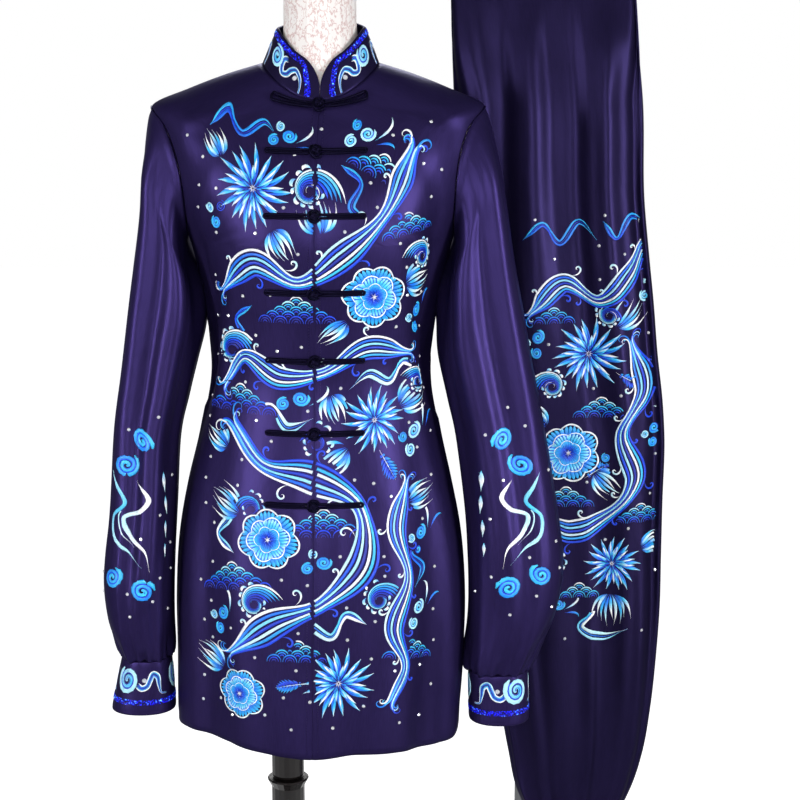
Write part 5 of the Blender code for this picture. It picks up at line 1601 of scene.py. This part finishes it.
class Setting:
    """A Geometry Nodes tree that sets one small shape on every point of a mesh. The points carry
    the way out of the cloth and the way along it. A tilt leaves the pieces a little askew."""

    def __init__(self, name, material, sizes, tilt=None):
        self.tree = bpy.data.node_groups.new(name, "GeometryNodeTree")
        self.material = material
        self.sizes = sizes
        self.tilt = tilt
        self.sockets = {}
        self.tree.interface.new_socket("Points", in_out="INPUT", socket_type="NodeSocketGeometry")
        for size, value in sizes.items():
            kind = "NodeSocketInt" if isinstance(value, int) else "NodeSocketFloat"
            made = self.tree.interface.new_socket(size, in_out="INPUT", socket_type=kind)
            made.default_value = value
            self.sockets[size] = made.identifier
        self.tree.interface.new_socket("Pieces", in_out="OUTPUT", socket_type="NodeSocketGeometry")
        self.given = add_node(self.tree, "NodeGroupInput")

    def node(self, kind, settings=None, sockets=None, output=0):
        return add_node(self.tree, kind, settings, sockets).outputs[output]

    def size(self, name):
        return self.given.outputs[name]

    def attribute(self, name):
        kind = {"data_type": "FLOAT_VECTOR"}
        return self.node("GeometryNodeInputNamedAttribute", kind, {"Name": name}, "Attribute")

    def finish(self, shape):
        """Sets the shape on the points, its Z out of the cloth and its X along it."""
        align = "FunctionNodeAlignRotationToVector"
        turned = self.node(align, {"axis": "Z"}, {"Vector": self.attribute("out")})
        sockets = {"Rotation": turned, "Vector": self.attribute("along")}
        turned = self.node(align, {"axis": "X", "pivot_axis": "Z"}, sockets)
        if self.tilt:
            least = tuple(-angle for angle in self.tilt)
            sockets = {"Min": least, "Max": self.tilt, "Seed": self.size("Seed")}
            lean = self.node("FunctionNodeRandomValue", {"data_type": "FLOAT_VECTOR"}, sockets)
            lean = self.node("FunctionNodeEulerToRotation", None, {"Euler": lean})
            sockets = {"Rotation": turned, "Rotate By": lean}
            turned = self.node("FunctionNodeRotateRotation", {"rotation_space": "LOCAL"}, sockets)
        sockets = {"Points": self.size("Points"), "Instance": shape, "Rotation": turned}
        spread = self.node("GeometryNodeInstanceOnPoints", None, sockets)
        real = self.node("GeometryNodeRealizeInstances", None, {"Geometry": spread})
        coated = self.node(
            "GeometryNodeSetMaterial", None, {"Geometry": real, "Material": self.material}
        )
        add_node(self.tree, "NodeGroupOutput", None, {0: coated})
        return self

    def make(self, name, chart, flat, lift, upright=False):
        """Sets the shape at places on a chart, as a plain mesh with the modifier gone. Upright
        pieces run up the cloth, the others across it."""
        points, out, along = laid_out(chart, flat, lift)
        if upright:
            along = np.cross(out, along)
        mesh = bpy.data.meshes.new(name)
        mesh.from_pydata(points.tolist(), [], [])
        for label, values in (("out", out), ("along", along)):
            layer = mesh.attributes.new(label, "FLOAT_VECTOR", "POINT")
            layer.data.foreach_set("vector", values.astype(np.float32).ravel())
        helper = in_scene(name, mesh)
        modifier = helper.modifiers.new("setting", "NODES")
        modifier.node_group = self.tree
        for size, value in self.sizes.items():
            modifier[self.sockets[size]] = value
        made = frozen(helper)
        made.name = name
        for label in ("out", "along"):
            if label in made.attributes:
                made.attributes.remove(made.attributes[label])
        add_piece(name, made, self.material)


def cone_setting(name, material, sizes, tilt=None):
    """Sets low cones with a flat top: stones and cupped sequins."""
    setting = Setting(name, material, sizes, tilt)
    sockets = {
        "Vertices": setting.size("Sides"), "Radius Top": setting.size("Top"),
        "Radius Bottom": setting.size("Radius"), "Depth": setting.size("Height"),
    }
    return setting.finish(setting.node("GeometryNodeMeshCone", {"fill_type": "NGON"}, sockets, "Mesh"))


def stone_setting(material, size=1.0):
    """A flat-backed rhinestone: a faceted crown round a table."""
    sizes = {"Sides": 8, "Radius": 0.0019 * size, "Top": 0.0010 * size, "Height": 0.0011 * size}
    return cone_setting("rhinestones", material, sizes)


def sequin_setting(material):
    """A cupped sequin that lies a little askew."""
    sizes = {"Sides": 7, "Radius": 0.00112, "Top": 0.00080, "Height": 0.00020, "Seed": 11}
    return cone_setting("sequins", material, sizes, (0.16, 0.16, 0.2))


def stitch_setting(material):
    """A lockstitch's short run of thread, its ends sunk in the cloth."""
    setting = Setting("stitches", material, {"Sides": 5, "Thickness": 0.00022, "Length": 0.0021})
    sockets = {
        "Vertices": setting.size("Sides"), "Radius": setting.size("Thickness"),
        "Depth": setting.size("Length"),
    }
    bar = setting.node("GeometryNodeMeshCylinder", {"fill_type": "NGON"}, sockets, "Mesh")
    turn = {"Geometry": bar, "Rotation": (0.0, math.pi / 2, 0.0)}
    return setting.finish(setting.node("GeometryNodeTransform", None, turn))


def laid_out(chart, flat, lift):
    """Places on a chart, as points, ways out of the cloth and ways across it."""
    across, up = np.asarray(flat, float).T
    step = 0.0008
    right = chart.points(across + step, up, lift) - chart.points(across - step, up, lift)
    above = chart.points(across, up + step, lift) - chart.points(across, up - step, lift)
    return chart.points(across, up, lift), unit(np.cross(right, above)), unit(right)


def spaced(chart, count, low, high, worked):
    """Scattered places on the bare cloth, each well apart from the others and off the work."""
    chance = np.random.default_rng(STONE_SEED)
    tries = chance.uniform(low, high, (count * 40, 2))
    tries = tries[chart.inside(tries[:, 0], tries[:, 1]) != 0]
    for block in np.array_split(worked, max(1, len(worked) // 4000)):
        gap = np.linalg.norm(tries[:, None] - block[None], axis=2).min(axis=1)
        tries = tries[gap > STONE_CLEARANCE]
    kept = []
    for place in tries:
        if all(np.linalg.norm(place - other) > STONE_DISTANCE for other in kept):
            kept.append(place)
        if len(kept) == count:
            break
    return np.array(kept)


def stone_finish():
    """Foiled crystal."""
    finish = Finish("crystal_stone", Metallic=0.40, IOR=1.7, Coat_Weight=1.0, Coat_Roughness=0.02)
    speck = finish.noise(finish.place(), 700.0, 1.0)
    colour = finish.mix(speck, rgb(205, 210, 226), rgb(255, 255, 255))
    return finish.link(Base_Color=colour, Roughness=0.05 + speck * 0.08)


def sequin_finish():
    """Electric blue sequins in random blues, with painted glints where a few are pale and a faint painted
    glow from their emission.
    """
    # Painted glow: the sequins give off a little light of their own colour
    finish = Finish("blue_sequin_painted_glints_and_glow", Metallic=0.2, Specular_IOR_Level=0.30, Emission_Strength=0.30)
    speck = finish.noise(finish.place(), 520.0, 0.0)
    # Painted glints: the last stop turns a few sequins pale cyan
    colour = finish.ramp(speck, [
        (0.36, rgb(3, 0, 56)), (0.50, rgb(8, 2, 150)), (0.64, rgb(16, 12, 245)),
        (0.73, rgb(30, 60, 255)), (0.76, rgb(120, 220, 255)),
    ])
    return finish.link(Base_Color=colour, Roughness=0.24 + speck * 0.2, Emission_Color=colour)


# Frogs


def hose(line, radius, sides=8, closed=False):
    """Points and faces of a smooth cord round a line, with rounded ends unless it is closed."""
    line = np.asarray(line, float)
    count = len(line)
    ahead = np.roll(line, -1, axis=0) - np.roll(line, 1, axis=0) if closed else np.gradient(line, axis=0)
    ahead = unit(ahead)
    wide = np.full(count, radius)
    if not closed:
        to_end = np.minimum(np.arange(count), np.arange(count)[::-1])
        wide = radius * np.sqrt(np.clip(1 - (1 - np.clip(to_end / 2.0, 0, 1)) ** 2, 0.12, 1))
    turn = np.arange(sides) * 2 * np.pi / sides
    normal = np.cross(ahead[0], (0.31, 0.17, 0.93))
    points = []
    for place, way, size in zip(line, ahead, wide):
        normal = unit(normal - way * np.dot(normal, way))
        other = np.cross(way, normal)
        points += [place + size * (np.cos(a) * normal + np.sin(a) * other) for a in turn]
    faces = []
    for i in range(count if closed else count - 1):
        for k in range(sides):
            a, b = i * sides + k, i * sides + (k + 1) % sides
            c, d = (i + 1) % count * sides + k, (i + 1) % count * sides + (k + 1) % sides
            faces.append((a, b, d, c))
    if not closed:
        faces.append(tuple(range(sides))[::-1])
        faces.append(tuple((count - 1) * sides + k for k in range(sides)))
    return points, faces


def joined(name, parts):
    """Several closed forms as one mesh."""
    points, faces = [], []
    for more, sides in parts:
        start = len(points)
        points += [tuple(p) for p in more]
        faces += [tuple(start + i for i in face) for face in sides]
    mesh = bpy.data.meshes.new(name)
    mesh.from_pydata(points, [], faces)
    form = bmesh.new()
    form.from_mesh(mesh)
    bmesh.ops.recalc_face_normals(form, faces=form.faces)
    form.to_mesh(mesh)
    form.free()
    mesh.shade_smooth()
    return mesh


def ball_knot(centre, out):
    """A woven ball knot: one closed cord over and under itself round a core."""
    t = np.linspace(0.0, 2 * np.pi, 140, endpoint=False)
    rise = 0.93 * np.sin(4 * t)
    ring = np.column_stack([np.cos(3 * t) * np.cos(rise), np.sin(3 * t) * np.cos(rise), np.sin(rise)])
    reach = (FROG_KNOT - KNOT_CORD) * (1.0 + 0.10 * np.cos(8 * t + 0.4))
    turn = np.array(Vector(out).to_track_quat("Z", "Y").to_matrix())
    line = centre + (ring * reach[:, None]) @ turn.T
    core = bmesh.new()
    bmesh.ops.create_icosphere(core, subdivisions=2, radius=FROG_KNOT * 0.72)
    ball = [np.array(v.co) + centre for v in core.verts]
    skin = [tuple(v.index for v in f.verts) for f in core.faces]
    core.free()
    return [hose(line, KNOT_CORD, closed=True), (ball, skin)]


def frog(number, z, chart, finish):
    """A strap with its knot on the right front and a strap with its loop on the left."""
    seam_z = min(z, NECK_SEAM_Z)
    across = chart.opening(seam_z)
    name = f"frog_{number}_"

    def on(places):
        """Places across, up and out of the cloth. Those above the neck seam go straight up."""
        flat = np.array(places, float)
        heights = np.minimum(flat[:, 1], NECK_SEAM_Z)
        points = chart.points(flat[:, 0], heights, FROG_CORD + 0.0009 + flat[:, 2])
        points[:, 2] += flat[:, 1] - heights
        return points

    near = FROG_KNOT + FROG_CORD * 0.6
    run = np.linspace(FROG_REACH, near * 0.9, 26)
    for side, part in ((-1, "strap"), (1, "loop")):
        path = [(across + side * r, z - FROG_SPREAD, 0.0) for r in run[::-1]]
        for a in np.radians(np.linspace(-90.0, 90.0, 9)[1:-1]):
            reach = FROG_REACH + FROG_SPREAD * math.cos(a)
            path.append((across + side * reach, z + FROG_SPREAD * math.sin(a), 0.0))
        path += [(across + side * r, z + FROG_SPREAD, 0.0) for r in run]
        if side > 0:
            for a in np.radians(np.arange(20.0, 341.0, 10.0)):
                over = (2 * FROG_CORD + 0.0001) * smooth_step(0.25, 0.9, -math.cos(a))
                path.append((across + near * math.cos(a), z + near * math.sin(a) * 0.98, over))
        tack = [(across + side * FROG_REACH * t, z, 0.0002) for t in np.linspace(0.24, 0.98, 14)]
        cords = [hose(on(path), FROG_CORD), hose(on(tack), FROG_CORD * 0.62, 6)]
        add_piece(name + part + "_cord", joined(name + part, cords), finish, [name + part])
    place, out, _ = laid_out(chart, [(across, seam_z)], FROG_KNOT + 0.0010)
    place[0, 2] += z - seam_z
    ball = joined(name + "knot", ball_knot(place[0], out[0]))
    add_piece(name + "knot_ball", ball, finish, [name + "knot"])


# The embroidered design: rolling waves, currents, blossoms, clouds and streaming ribbons

RIBBON = (
    (0.75, 2.3, [WHITE, WHITE, ICE, WHITE]), (-0.05, 0.8, [ROYAL, AZURE, ROYAL]),
    (-0.80, 1.7, [ICE, SKY, ICE, SKY]),
)
BLUE_RIBBON = (
    (0.75, 1.5, [SKY, AZURE, SKY]), (-0.05, 0.9, [ROYAL, DEEP, ROYAL]),
    (-0.80, 1.5, [AZURE, ROYAL, AZURE, SKY]),
)
STREAM = (
    PALE_LINE, [AZURE, ROYAL, AZURE], [SKY, ICE, SKY], [ROYAL, DEEP, ROYAL],
    [ICE, WHITE, ICE], [AZURE, SKY, AZURE], [ROYAL, ROYAL],
)
DARK_STREAM = STREAM[::-1]


def jacket_design(work):
    """From the top layer down: blossoms, currents, rolling waves, then what fills the ground."""
    work.aster((-66, 1208), 41, 10)
    work.peony((60, 1096), 34, 15)
    work.peony((-52, 836), 33, 40)
    work.aster((62, 962), 35, 25, -1)
    work.aster((24, 680), 38, 0)
    work.peony((-84, 664), 28, 20)
    work.current(
        [(-106, 1104), (-70, 1132), (-20, 1112), (26, 1140), (70, 1180), (100, 1236)],
        14, 2.4, STREAM,
    )
    work.current(
        [(100, 1032), (54, 1040), (6, 1014), (-40, 1008), (-84, 1028), (-106, 1000)],
        12, 2.0, DARK_STREAM,
    )
    work.current(
        [(-92, 712), (-48, 744), (6, 768), (50, 812), (46, 872), (-6, 904), (-60, 916), (-92, 950)],
        16, 3.2, STREAM, 150,
    )
    work.current([(100, 890), (88, 846), (102, 790), (84, 736), (98, 690), (84, 660)], 11, 2.2, DARK_STREAM)
    for foot, turn, size, way in (
        ((30, 1194), 100, 31, -1), ((92, 1136), 60, 23, 1), ((-64, 1036), 120, 28, -1),
        ((-34, 946), 50, 27, 1), ((98, 776), 130, 25, -1), ((-36, 772), 130, 26, -1), ((-98, 868), 60, 22, 1),
        ((94, 1006), 40, 20, 1),
    ):
        work.billow(foot, turn, size, way)
    for top, size, rows, turn in (
        ((-88, 990), 9.0, 5, 90), ((106, 716), 8.6, 4, 80), ((70, 1232), 9.0, 4, 60),
        ((-94, 800), 9.0, 5, 96), ((8, 862), 9.0, 5, 90), ((-22, 1090), 8.6, 5, 90),
        ((98, 1176), 8.4, 4, 100), ((-20, 720), 8.6, 4, 90),
    ):
        work.mound(top, size, rows, turn)
    for root, turn, spread, length, count in (
        ((-100, 1236), 118, 90, 26, 7), ((-26, 1222), 20, 80, 38, 9), ((-46, 1166), -60, 90, 34, 8),
        ((98, 1108), 10, 100, 38, 9), ((30, 1070), 215, 80, 34, 8), ((-86, 862), 150, 90, 38, 9),
        ((94, 974), 30, 100, 38, 9), ((32, 934), 215, 90, 38, 9), ((-18, 850), 20, 80, 34, 8),
        ((-108, 690), 150, 90, 38, 9), ((62, 702), 20, 90, 38, 8), ((-12, 700), 150, 90, 36, 8),
        ((-104, 930), 150, 90, 34, 8), ((104, 872), 20, 90, 34, 8), ((4, 1164), 100, 110, 34, 9),
        ((-40, 1062), 90, 110, 34, 9), ((14, 990), -70, 100, 32, 8),
    ):
        work.spray(root, turn, spread, length, count)
    for place, size, turn, pale in (
        ((-34, 1258), 9, 8, 0), ((46, 1258), 10, 12, 1), ((-108, 1182), 10, 60, 0), ((114, 1160), 11, 60, 0),
        ((6, 1052), 11, 8, 1), ((116, 1068), 10, 80, 0), ((-26, 984), 11, 12, 0), ((110, 936), 11, 70, 1),
        ((18, 920), 9, 10, 0), ((-112, 880), 11, 70, 0), ((118, 828), 10, 70, 0), ((-56, 706), 11, 12, 1),
        ((0, 810), 10, 14, 0), ((-110, 742), 10, 70, 0), ((112, 748), 10, 60, 1), ((-4, 940), 10, 0, 1),
    ):
        work.cloud(place, size, turn, pale)
    for knots in (
        [(-8, 1262), (10, 1244), (-2, 1222), (18, 1206), (6, 1180)],
        [(118, 1010), (98, 1022), (80, 1002), (56, 1012), (34, 996)],
        [(-92, 818), (-114, 836), (-98, 858), (-118, 878)],
        [(54, 744), (32, 756), (16, 732), (-12, 746), (-26, 722)],
        [(-72, 966), (-50, 978), (-32, 956), (-4, 966)],
    ):
        work.ribbon(knots, 4.6, RIBBON)
    for knots in (
        [(-112, 1264), (-94, 1278), (-76, 1260), (-52, 1272), (-38, 1258)],
        [(26, 1232), (46, 1214), (36, 1190), (58, 1176)],
        [(-72, 1086), (-92, 1070), (-82, 1048), (-102, 1032)],
        [(120, 836), (106, 816), (122, 798), (110, 778)],
        [(-70, 762), (-56, 782), (-74, 798), (-58, 814)],
    ):
        work.ribbon(knots, 3.6, BLUE_RIBBON)
    for root, turn, length in (
        ((28, 1080), 190, 34), ((66, 1058), -70, 30), ((-20, 824), -30, 32), ((-60, 874), 100, 32),
        ((26, 970), 170, 32), ((70, 926), -60, 34), ((-14, 680), 190, 30),
    ):
        work.leaf(root, turn, length)


def sleeve_design(work):
    """Clouds above and below three S-shaped streamers, with a few drops beside them."""
    for centre, radius, turn, tall, way in (
        ((0, 934), 16, -50, 0.72, 1), ((-16, 906), 16, 25, 0.90, -1), ((-26, 784), 15, 40, 0.86, -1),
        ((10, 770), 16, -30, 0.90, 1),
    ):
        work.begin()
        work.disc(centre, radius, turn, tall, way)
    knots = [(-34, 896), (-26, 882), (-16, 866), (-30, 848), (-28, 830), (-8, 812), (8, 796)]
    work.ribbon(knots, 4.0, ((0, 2.5, [ICE, SKY, ICE, ICE]),), 64, 1.1, 0.75)
    knots = [(-4, 890), (10, 870), (2, 858), (-16, 850), (-8, 830), (10, 814), (16, 792)]
    work.ribbon(knots, 5.0, ((0, 2.9, PALE_LINE),), 64, 1.1, 0.80)
    knots = [(-12, 886), (-6, 870), (-22, 852), (-18, 834), (-2, 818)]
    work.ribbon(knots, 3.0, ((0, 0.9, [WHITE, ICE, WHITE]),), 48, 1.0, 0.8)
    for root, turn, length in (
        ((26, 902), -80, 24), ((31, 874), -78, 22), ((33, 846), -84, 20), ((34, 820), -84, 16),
    ):
        work.drop(root, turn, length)


def leg_design(work):
    """The near leg's design, in the same layers as the jacket's."""
    work.aster((306, 1000), 41, 5)
    work.peony((284, 884), 35, 30)
    work.aster((338, 750), 33, 15, -1)
    work.current([(240, 1050), (276, 1082), (316, 1062), (350, 1092), (370, 1136)], 12, 2.0, STREAM)
    work.current(
        [(356, 1010), (372, 960), (346, 908), (362, 852), (330, 808), (286, 790), (252, 812)],
        13, 2.8, DARK_STREAM, 140,
    )
    work.billow((234, 958), 70, 24, 1)
    work.billow((356, 1036), 100, 24, -1)
    work.billow((236, 752), 60, 25, 1)
    for top, size, rows, turn in (
        ((256, 1052), 8.6, 4, 90), ((322, 942), 8.6, 4, 90), ((282, 836), 8.6, 4, 90),
        ((370, 816), 8.2, 4, 90), ((300, 720), 8.2, 3, 90),
    ):
        work.mound(top, size, rows, turn)
    for root, turn, spread, length, count in (
        ((336, 1034), 50, 100, 40, 9), ((276, 1030), 130, 90, 38, 9), ((258, 916), 150, 90, 36, 8),
        ((316, 860), -40, 90, 36, 8), ((338, 712), -90, 120, 36, 9), ((372, 770), 20, 80, 30, 7),
        ((262, 960), 215, 90, 34, 8),
    ):
        work.spray(root, turn, spread, length, count)
    for place, size, turn, pale in (
        ((246, 1012), 10, 80, 0), ((372, 1076), 10, 70, 1), ((244, 858), 10, 80, 0), ((330, 866), 10, 10, 1),
        ((288, 736), 10, 20, 0), ((384, 904), 9, 80, 0), ((268, 700), 9, 10, 0),
    ):
        work.cloud(place, size, turn, pale)
    work.ribbon([(228, 1132), (250, 1150), (270, 1128), (292, 1152), (312, 1132)], 3.8, BLUE_RIBBON)
    work.ribbon([(318, 1154), (334, 1134), (352, 1158), (372, 1146)], 3.4, BLUE_RIBBON)
    work.ribbon([(292, 708), (316, 692), (302, 674), (330, 660), (358, 672)], 4.8, RIBBON)
    work.ribbon([(262, 736), (244, 716), (264, 700), (246, 680)], 4.0, RIBBON)
    for root, turn, length in (
        ((340, 978), -30, 32), ((270, 982), 200, 32), ((250, 886), 180, 28), ((306, 856), 30, 30),
    ):
        work.leaf(root, turn, length)


def scroll(work, design, place, height, mirror, way):
    """A cloud-and-wave scroll: nested lines that start thin, rise and dip beside a spiral eye."""
    work.begin()
    scale = design.scale
    across, up, radius = design.eye
    eye = (place + mirror * across * scale, height + up * scale)
    work.disc(eye, radius * scale, 90.0, 0.88, way, True)
    knots = [(place + mirror * x * scale, height + y * scale) for x, y in design.knots]
    line = smooth_line(knots, 64)
    left = sides_of(line)[1]
    share = np.linspace(0.0, 1.0, 64)
    swell = 0.26 + 0.74 * smooth_step(0.05, 0.45, share)
    shape = swell * spindle(share, 0.03, 0.06)
    for offset, half, stops in SCROLL_STRANDS:
        path = line + left * (swell * offset * -way * scale)[:, None]
        work.stroke(path, half * scale, stops, shape=shape)


# Stage


def floor():
    """A pale floor, as bright as the room behind it, that throws little light up."""
    finish = Finish("pale_floor", Specular_IOR_Level=0.2, Emission_Strength=0.90)
    speck = finish.noise(finish.place(), 3.0, 3.0)
    seen = finish.node("LightPath", output="Is Camera Ray")
    colour = finish.mix(speck, rgb(250, 250, 251), rgb(254, 254, 254))
    glow = finish.mix(seen, (0.04, 0.04, 0.04, 1.0), (1.0, 1.0, 1.0, 1.0))
    finish.link(Base_Color=colour, Roughness=0.8 + speck * 0.1, Emission_Color=glow)
    bpy.ops.mesh.primitive_plane_add(size=16.0, location=(0.0, 0.0, -0.001))
    plane = bpy.context.object
    plane.name = "floor"
    plane.data.materials.append(finish.material)


def light(name, place, aim, size, power, spread):
    """A rectangular soft box, turned to the place that it is aimed at."""
    data = bpy.data.lights.new(name, "AREA")
    data.shape = "RECTANGLE"
    data.size, data.size_y = size
    data.energy = power
    data.spread = math.radians(spread)
    obj = in_scene(name, data)
    obj.location = place
    obj.rotation_euler = (Vector(aim) - Vector(place)).to_track_quat("-Z", "Y").to_euler()


def room():
    """Even pale light from all round, dimmer from above, in front of a white backdrop."""
    world = bpy.data.worlds.new("pale_room")
    bpy.context.scene.world = world
    world.use_nodes = True
    tree = world.node_tree
    seen = add_node(tree, "ShaderNodeLightPath").outputs["Is Camera Ray"]
    facing = add_node(tree, "ShaderNodeTexCoord").outputs["Generated"]
    up = add_node(tree, "ShaderNodeSeparateXYZ", None, {0: facing}).outputs["Z"]
    sockets = {"Value": up, "To Min": 0.36, "To Max": 0.10}
    ceiling = add_node(tree, "ShaderNodeMapRange", None, sockets).outputs["Result"]
    sockets = {"Value": seen, "To Min": ceiling, "To Max": 1.0}
    strength = add_node(tree, "ShaderNodeMapRange", None, sockets).outputs["Result"]
    background = tree.nodes["Background"].inputs
    background["Color"].default_value = (1.0, 1.0, 1.0, 1.0)
    tree.links.new(strength, background["Strength"])
    bpy.context.scene.view_settings.view_transform = "Standard"


def studio():
    """A pale room with soft boxes at both sides, in front, behind and above, and the camera."""
    room()
    light("left_box", (-1.8, -1.6, 1.20), (-0.05, 0.0, 1.05), (0.5, 1.3), 3.8, 50)
    light("right_box", (2.0, -1.4, 1.15), (0.20, 0.0, 1.05), (0.5, 1.3), 4.6, 50)
    light("front_box", (0.0, -2.9, 1.35), (0.1, 0.0, 0.90), (1.2, 0.8), 3.4, 44)
    light("rear_box", (0.1, 2.7, 2.6), (0.1, 0.1, 0.95), (1.6, 0.9), 9, 70)
    light("top_box", (0.1, -0.4, 3.0), (0.1, 0.0, 1.0), (1.6, 1.0), 1.2, 120)
    data = bpy.data.cameras.new("camera")
    data.lens = CAMERA_LENS
    data.sensor_width = CAMERA_SENSOR
    camera = in_scene("camera", data)
    camera.location = CAMERA_PLACE
    pitch = math.atan(HORIZON_PIXELS / FOCAL_PIXELS)
    camera.rotation_euler = (math.pi / 2 - pitch, 0.0, 0.0)
    bpy.context.scene.camera = camera


def embroider(body, thread, stone):
    """The embroidery on the fronts, the sleeves and the near leg, with stones scattered round it."""
    sleeve_low, sleeve_high = (-0.05, 0.74), (0.05, 0.97)
    right, left = SleeveChart(-1), SleeveChart(1)
    for name, work, design, count, low, high in (
        ("front", Needlework(body, 1), jacket_design, 95, (-0.14, 0.61), (0.14, 1.27)),
        ("sleeve_right", Needlework(right, 4), sleeve_design, 14, sleeve_low, sleeve_high),
        ("sleeve_left", Needlework(left, 6, -1), sleeve_design, 14, sleeve_low, sleeve_high),
        ("leg", Needlework(LegChart(), 9), leg_design, 26, (0.20, 0.66), (0.39, 1.17)),
    ):
        design(work)
        work.piece("embroidery_" + name, thread)
        worked = np.concatenate(work.flat)[::3] / 1000 * (work.mirror, 1)
        places = spaced(work.chart, count, low, high, worked)
        stone.make("stones_" + name, work.chart, places, 0.0006)


def collar_work(thread, sequin, large):
    """The collar's scrolls, sequin borders and stones."""
    chart = CollarChart()
    work = Needlework(chart, 31)
    for way in (1, -1):
        for place in (21.5, 74.5, 127.5):
            scroll(work, COLLAR_SCROLL, way * place, 4.5, way, way)
    work.piece("embroidery_collar", thread)
    top = [(a, float(chart.top(a / 1000)) * COLLAR_HEIGHT * 1000 - 5.6) for a in range(24, 178, 3)]
    line = smooth_line([(12.6, 1.5), (12.2, 9.0), (14.2, 18.0)] + top, 280)
    left = sides_of(line)[1]
    share = np.linspace(0.0, 1.0, 280)
    count = int(run_along(line)[-1] / COLLAR_SEQUIN_STEP)
    half = []
    for row in (-1, 0, 1, 2):
        at = (np.arange(count) + 0.5 * (row % 2)) / count
        path = line + left * COLLAR_SEQUIN_ROW * (row - 0.5)
        half.append(np.column_stack([np.interp(at, share, path[:, k]) for k in (0, 1)]) / 1000)
    half = np.concatenate(half)
    rows = np.concatenate([half, half * (-1, 1)])
    rows = rows[chart.inside(rows[:, 0], rows[:, 1]) != 0]
    sequin.make("sequins_collar", chart, rows, 0.0004)
    large.make("stones_collar", chart, [(0.0275, 0.0150), (-0.0275, 0.0150)], 0.0004)


def cuff_work(side, name, thread, sequin, large):
    """One cuff's scrolls, sequin border and stones."""
    chart = CuffChart(side)
    work = Needlework(chart, 41 + side)
    third = np.pi * chart.radius * 1000 * 2 / 3
    stones_at = []
    for turn in range(3):
        scroll(work, CUFF_SCROLL, -side * turn * third + 4.0 * side, 38.5, side, 1)
        stones_at.append(((side * (4.0 - turn * third) - side * 6.4) / 1000, 0.0402))
    work.piece("embroidery_cuff_" + name, thread)
    ring = 2 * np.pi * chart.radius
    count = int(ring / CUFF_SEQUIN_STEP)
    rows = [
        (ring * (i + 0.5 * (k % 2)) / count, CUFF_SEQUIN_HEIGHT + CUFF_SEQUIN_ROW * k)
        for i in range(count) for k in range(4)
    ]
    sequin.make("sequins_cuff_" + name, chart, rows, 0.0003)
    large.make("stones_cuff_" + name, chart, stones_at, 0.0004)


def topstitching(stitch, body):
    """Rows of stitches along the opening and the collar's edge."""
    rows = []
    for side in (-1, 1):
        for height in np.arange(0.603, 1.290, STITCH_STEP):
            rows.append((body.opening(height) + side * 0.0060, height))
    stitch.make("stitches_opening", body, rows, 0.0001, upright=True)
    chart = CollarChart()
    across = np.arange(-0.174, 0.174, STITCH_STEP)
    rows = np.column_stack([across, chart.top(across) * COLLAR_HEIGHT - 0.0016])
    stitch.make("stitches_collar", chart, rows, 0.0001)


def trims(satin, cord, thread, stones, sequins):
    """Embroidery, stones, sequins, topstitching and frogs."""
    body = BodyChart()
    embroider(body, thread, stone_setting(stones))
    sequin = sequin_setting(sequins)
    large = stone_setting(stones, 1.45)
    collar_work(thread, sequin, large)
    for side, name in SIDES:
        cuff_work(side, name, thread, sequin, large)
    topstitching(stitch_setting(satin), body)
    for number, z in enumerate(FROG_Z, 1):
        frog(number, z, body, cord)


# A record for the cut of a piece of cloth, in metres: its greatest width and length, and its area. No piece's
# cut is filled in here.
Cut = namedtuple("Cut", "piece width length area held rests_on worked")


def coat_solids():
    """The hard pieces keep their CAD solids and get their finishes."""
    steel = metal_finish("chromed_steel", rgb(205, 206, 210), 0.14, (60.0, 700.0, 700.0))
    powdered = metal_finish("stand_metal", rgb(150, 152, 156), 0.30, (400.0, 400.0, 30.0))
    for finish, names in (
        (jersey_finish(), ("dress_form",)),
        (lacquer_finish(), ("neck_cap", "pole_upper", "pole_lower", "form_base")),
        (steel, ("hanger_bar", "hanger_hook")),
        (powdered, ("trouser_stand_base", "trouser_stand_pole", "trouser_stand_arm")),
        (clip_finish(), ("clip_front", "clip_back")),
    ):
        for name in names:
            for holder in NODES[name].material_slots:
                holder.material = finish


def main():
    studio()
    floor()
    # Each satin's second colour is the painted sheen that its floats and slubs turn towards at random
    satin = satin_finish("navy_satin", rgb(24, 19, 47), rgb(52, 42, 92))
    trouser_and_collar_shade_satin = satin_finish("trouser_satin_and_collar_shade", rgb(18, 15, 36), rgb(41, 34, 72))
    for side, name in SIDES:
        front_panel("front_" + name, side, satin)
    back_panel(satin)
    for side, name in SIDES:
        sleeve("sleeve_" + name, side, satin)
    for side, name in SIDES:
        cuff("cuff_" + name, side, satin)
    # Painted shade: the collar is given the darker trouser satin, a darker copy of the jacket's own satin
    collar(trouser_and_collar_shade_satin)
    leg("leg_left", -1, trouser_and_collar_shade_satin)
    leg("leg_right", 1, trouser_and_collar_shade_satin)
    waistband(trouser_and_collar_shade_satin)
    ankle_band("ankle_band_left", -1, trouser_and_collar_shade_satin)
    ankle_band("ankle_band_right", 1, trouser_and_collar_shade_satin)
    cord = satin_finish("cord_satin", rgb(9, 8, 19), rgb(20, 17, 40))
    trims(satin, cord, thread_finish(), stone_finish(), sequin_finish())
    coat_solids()


main()
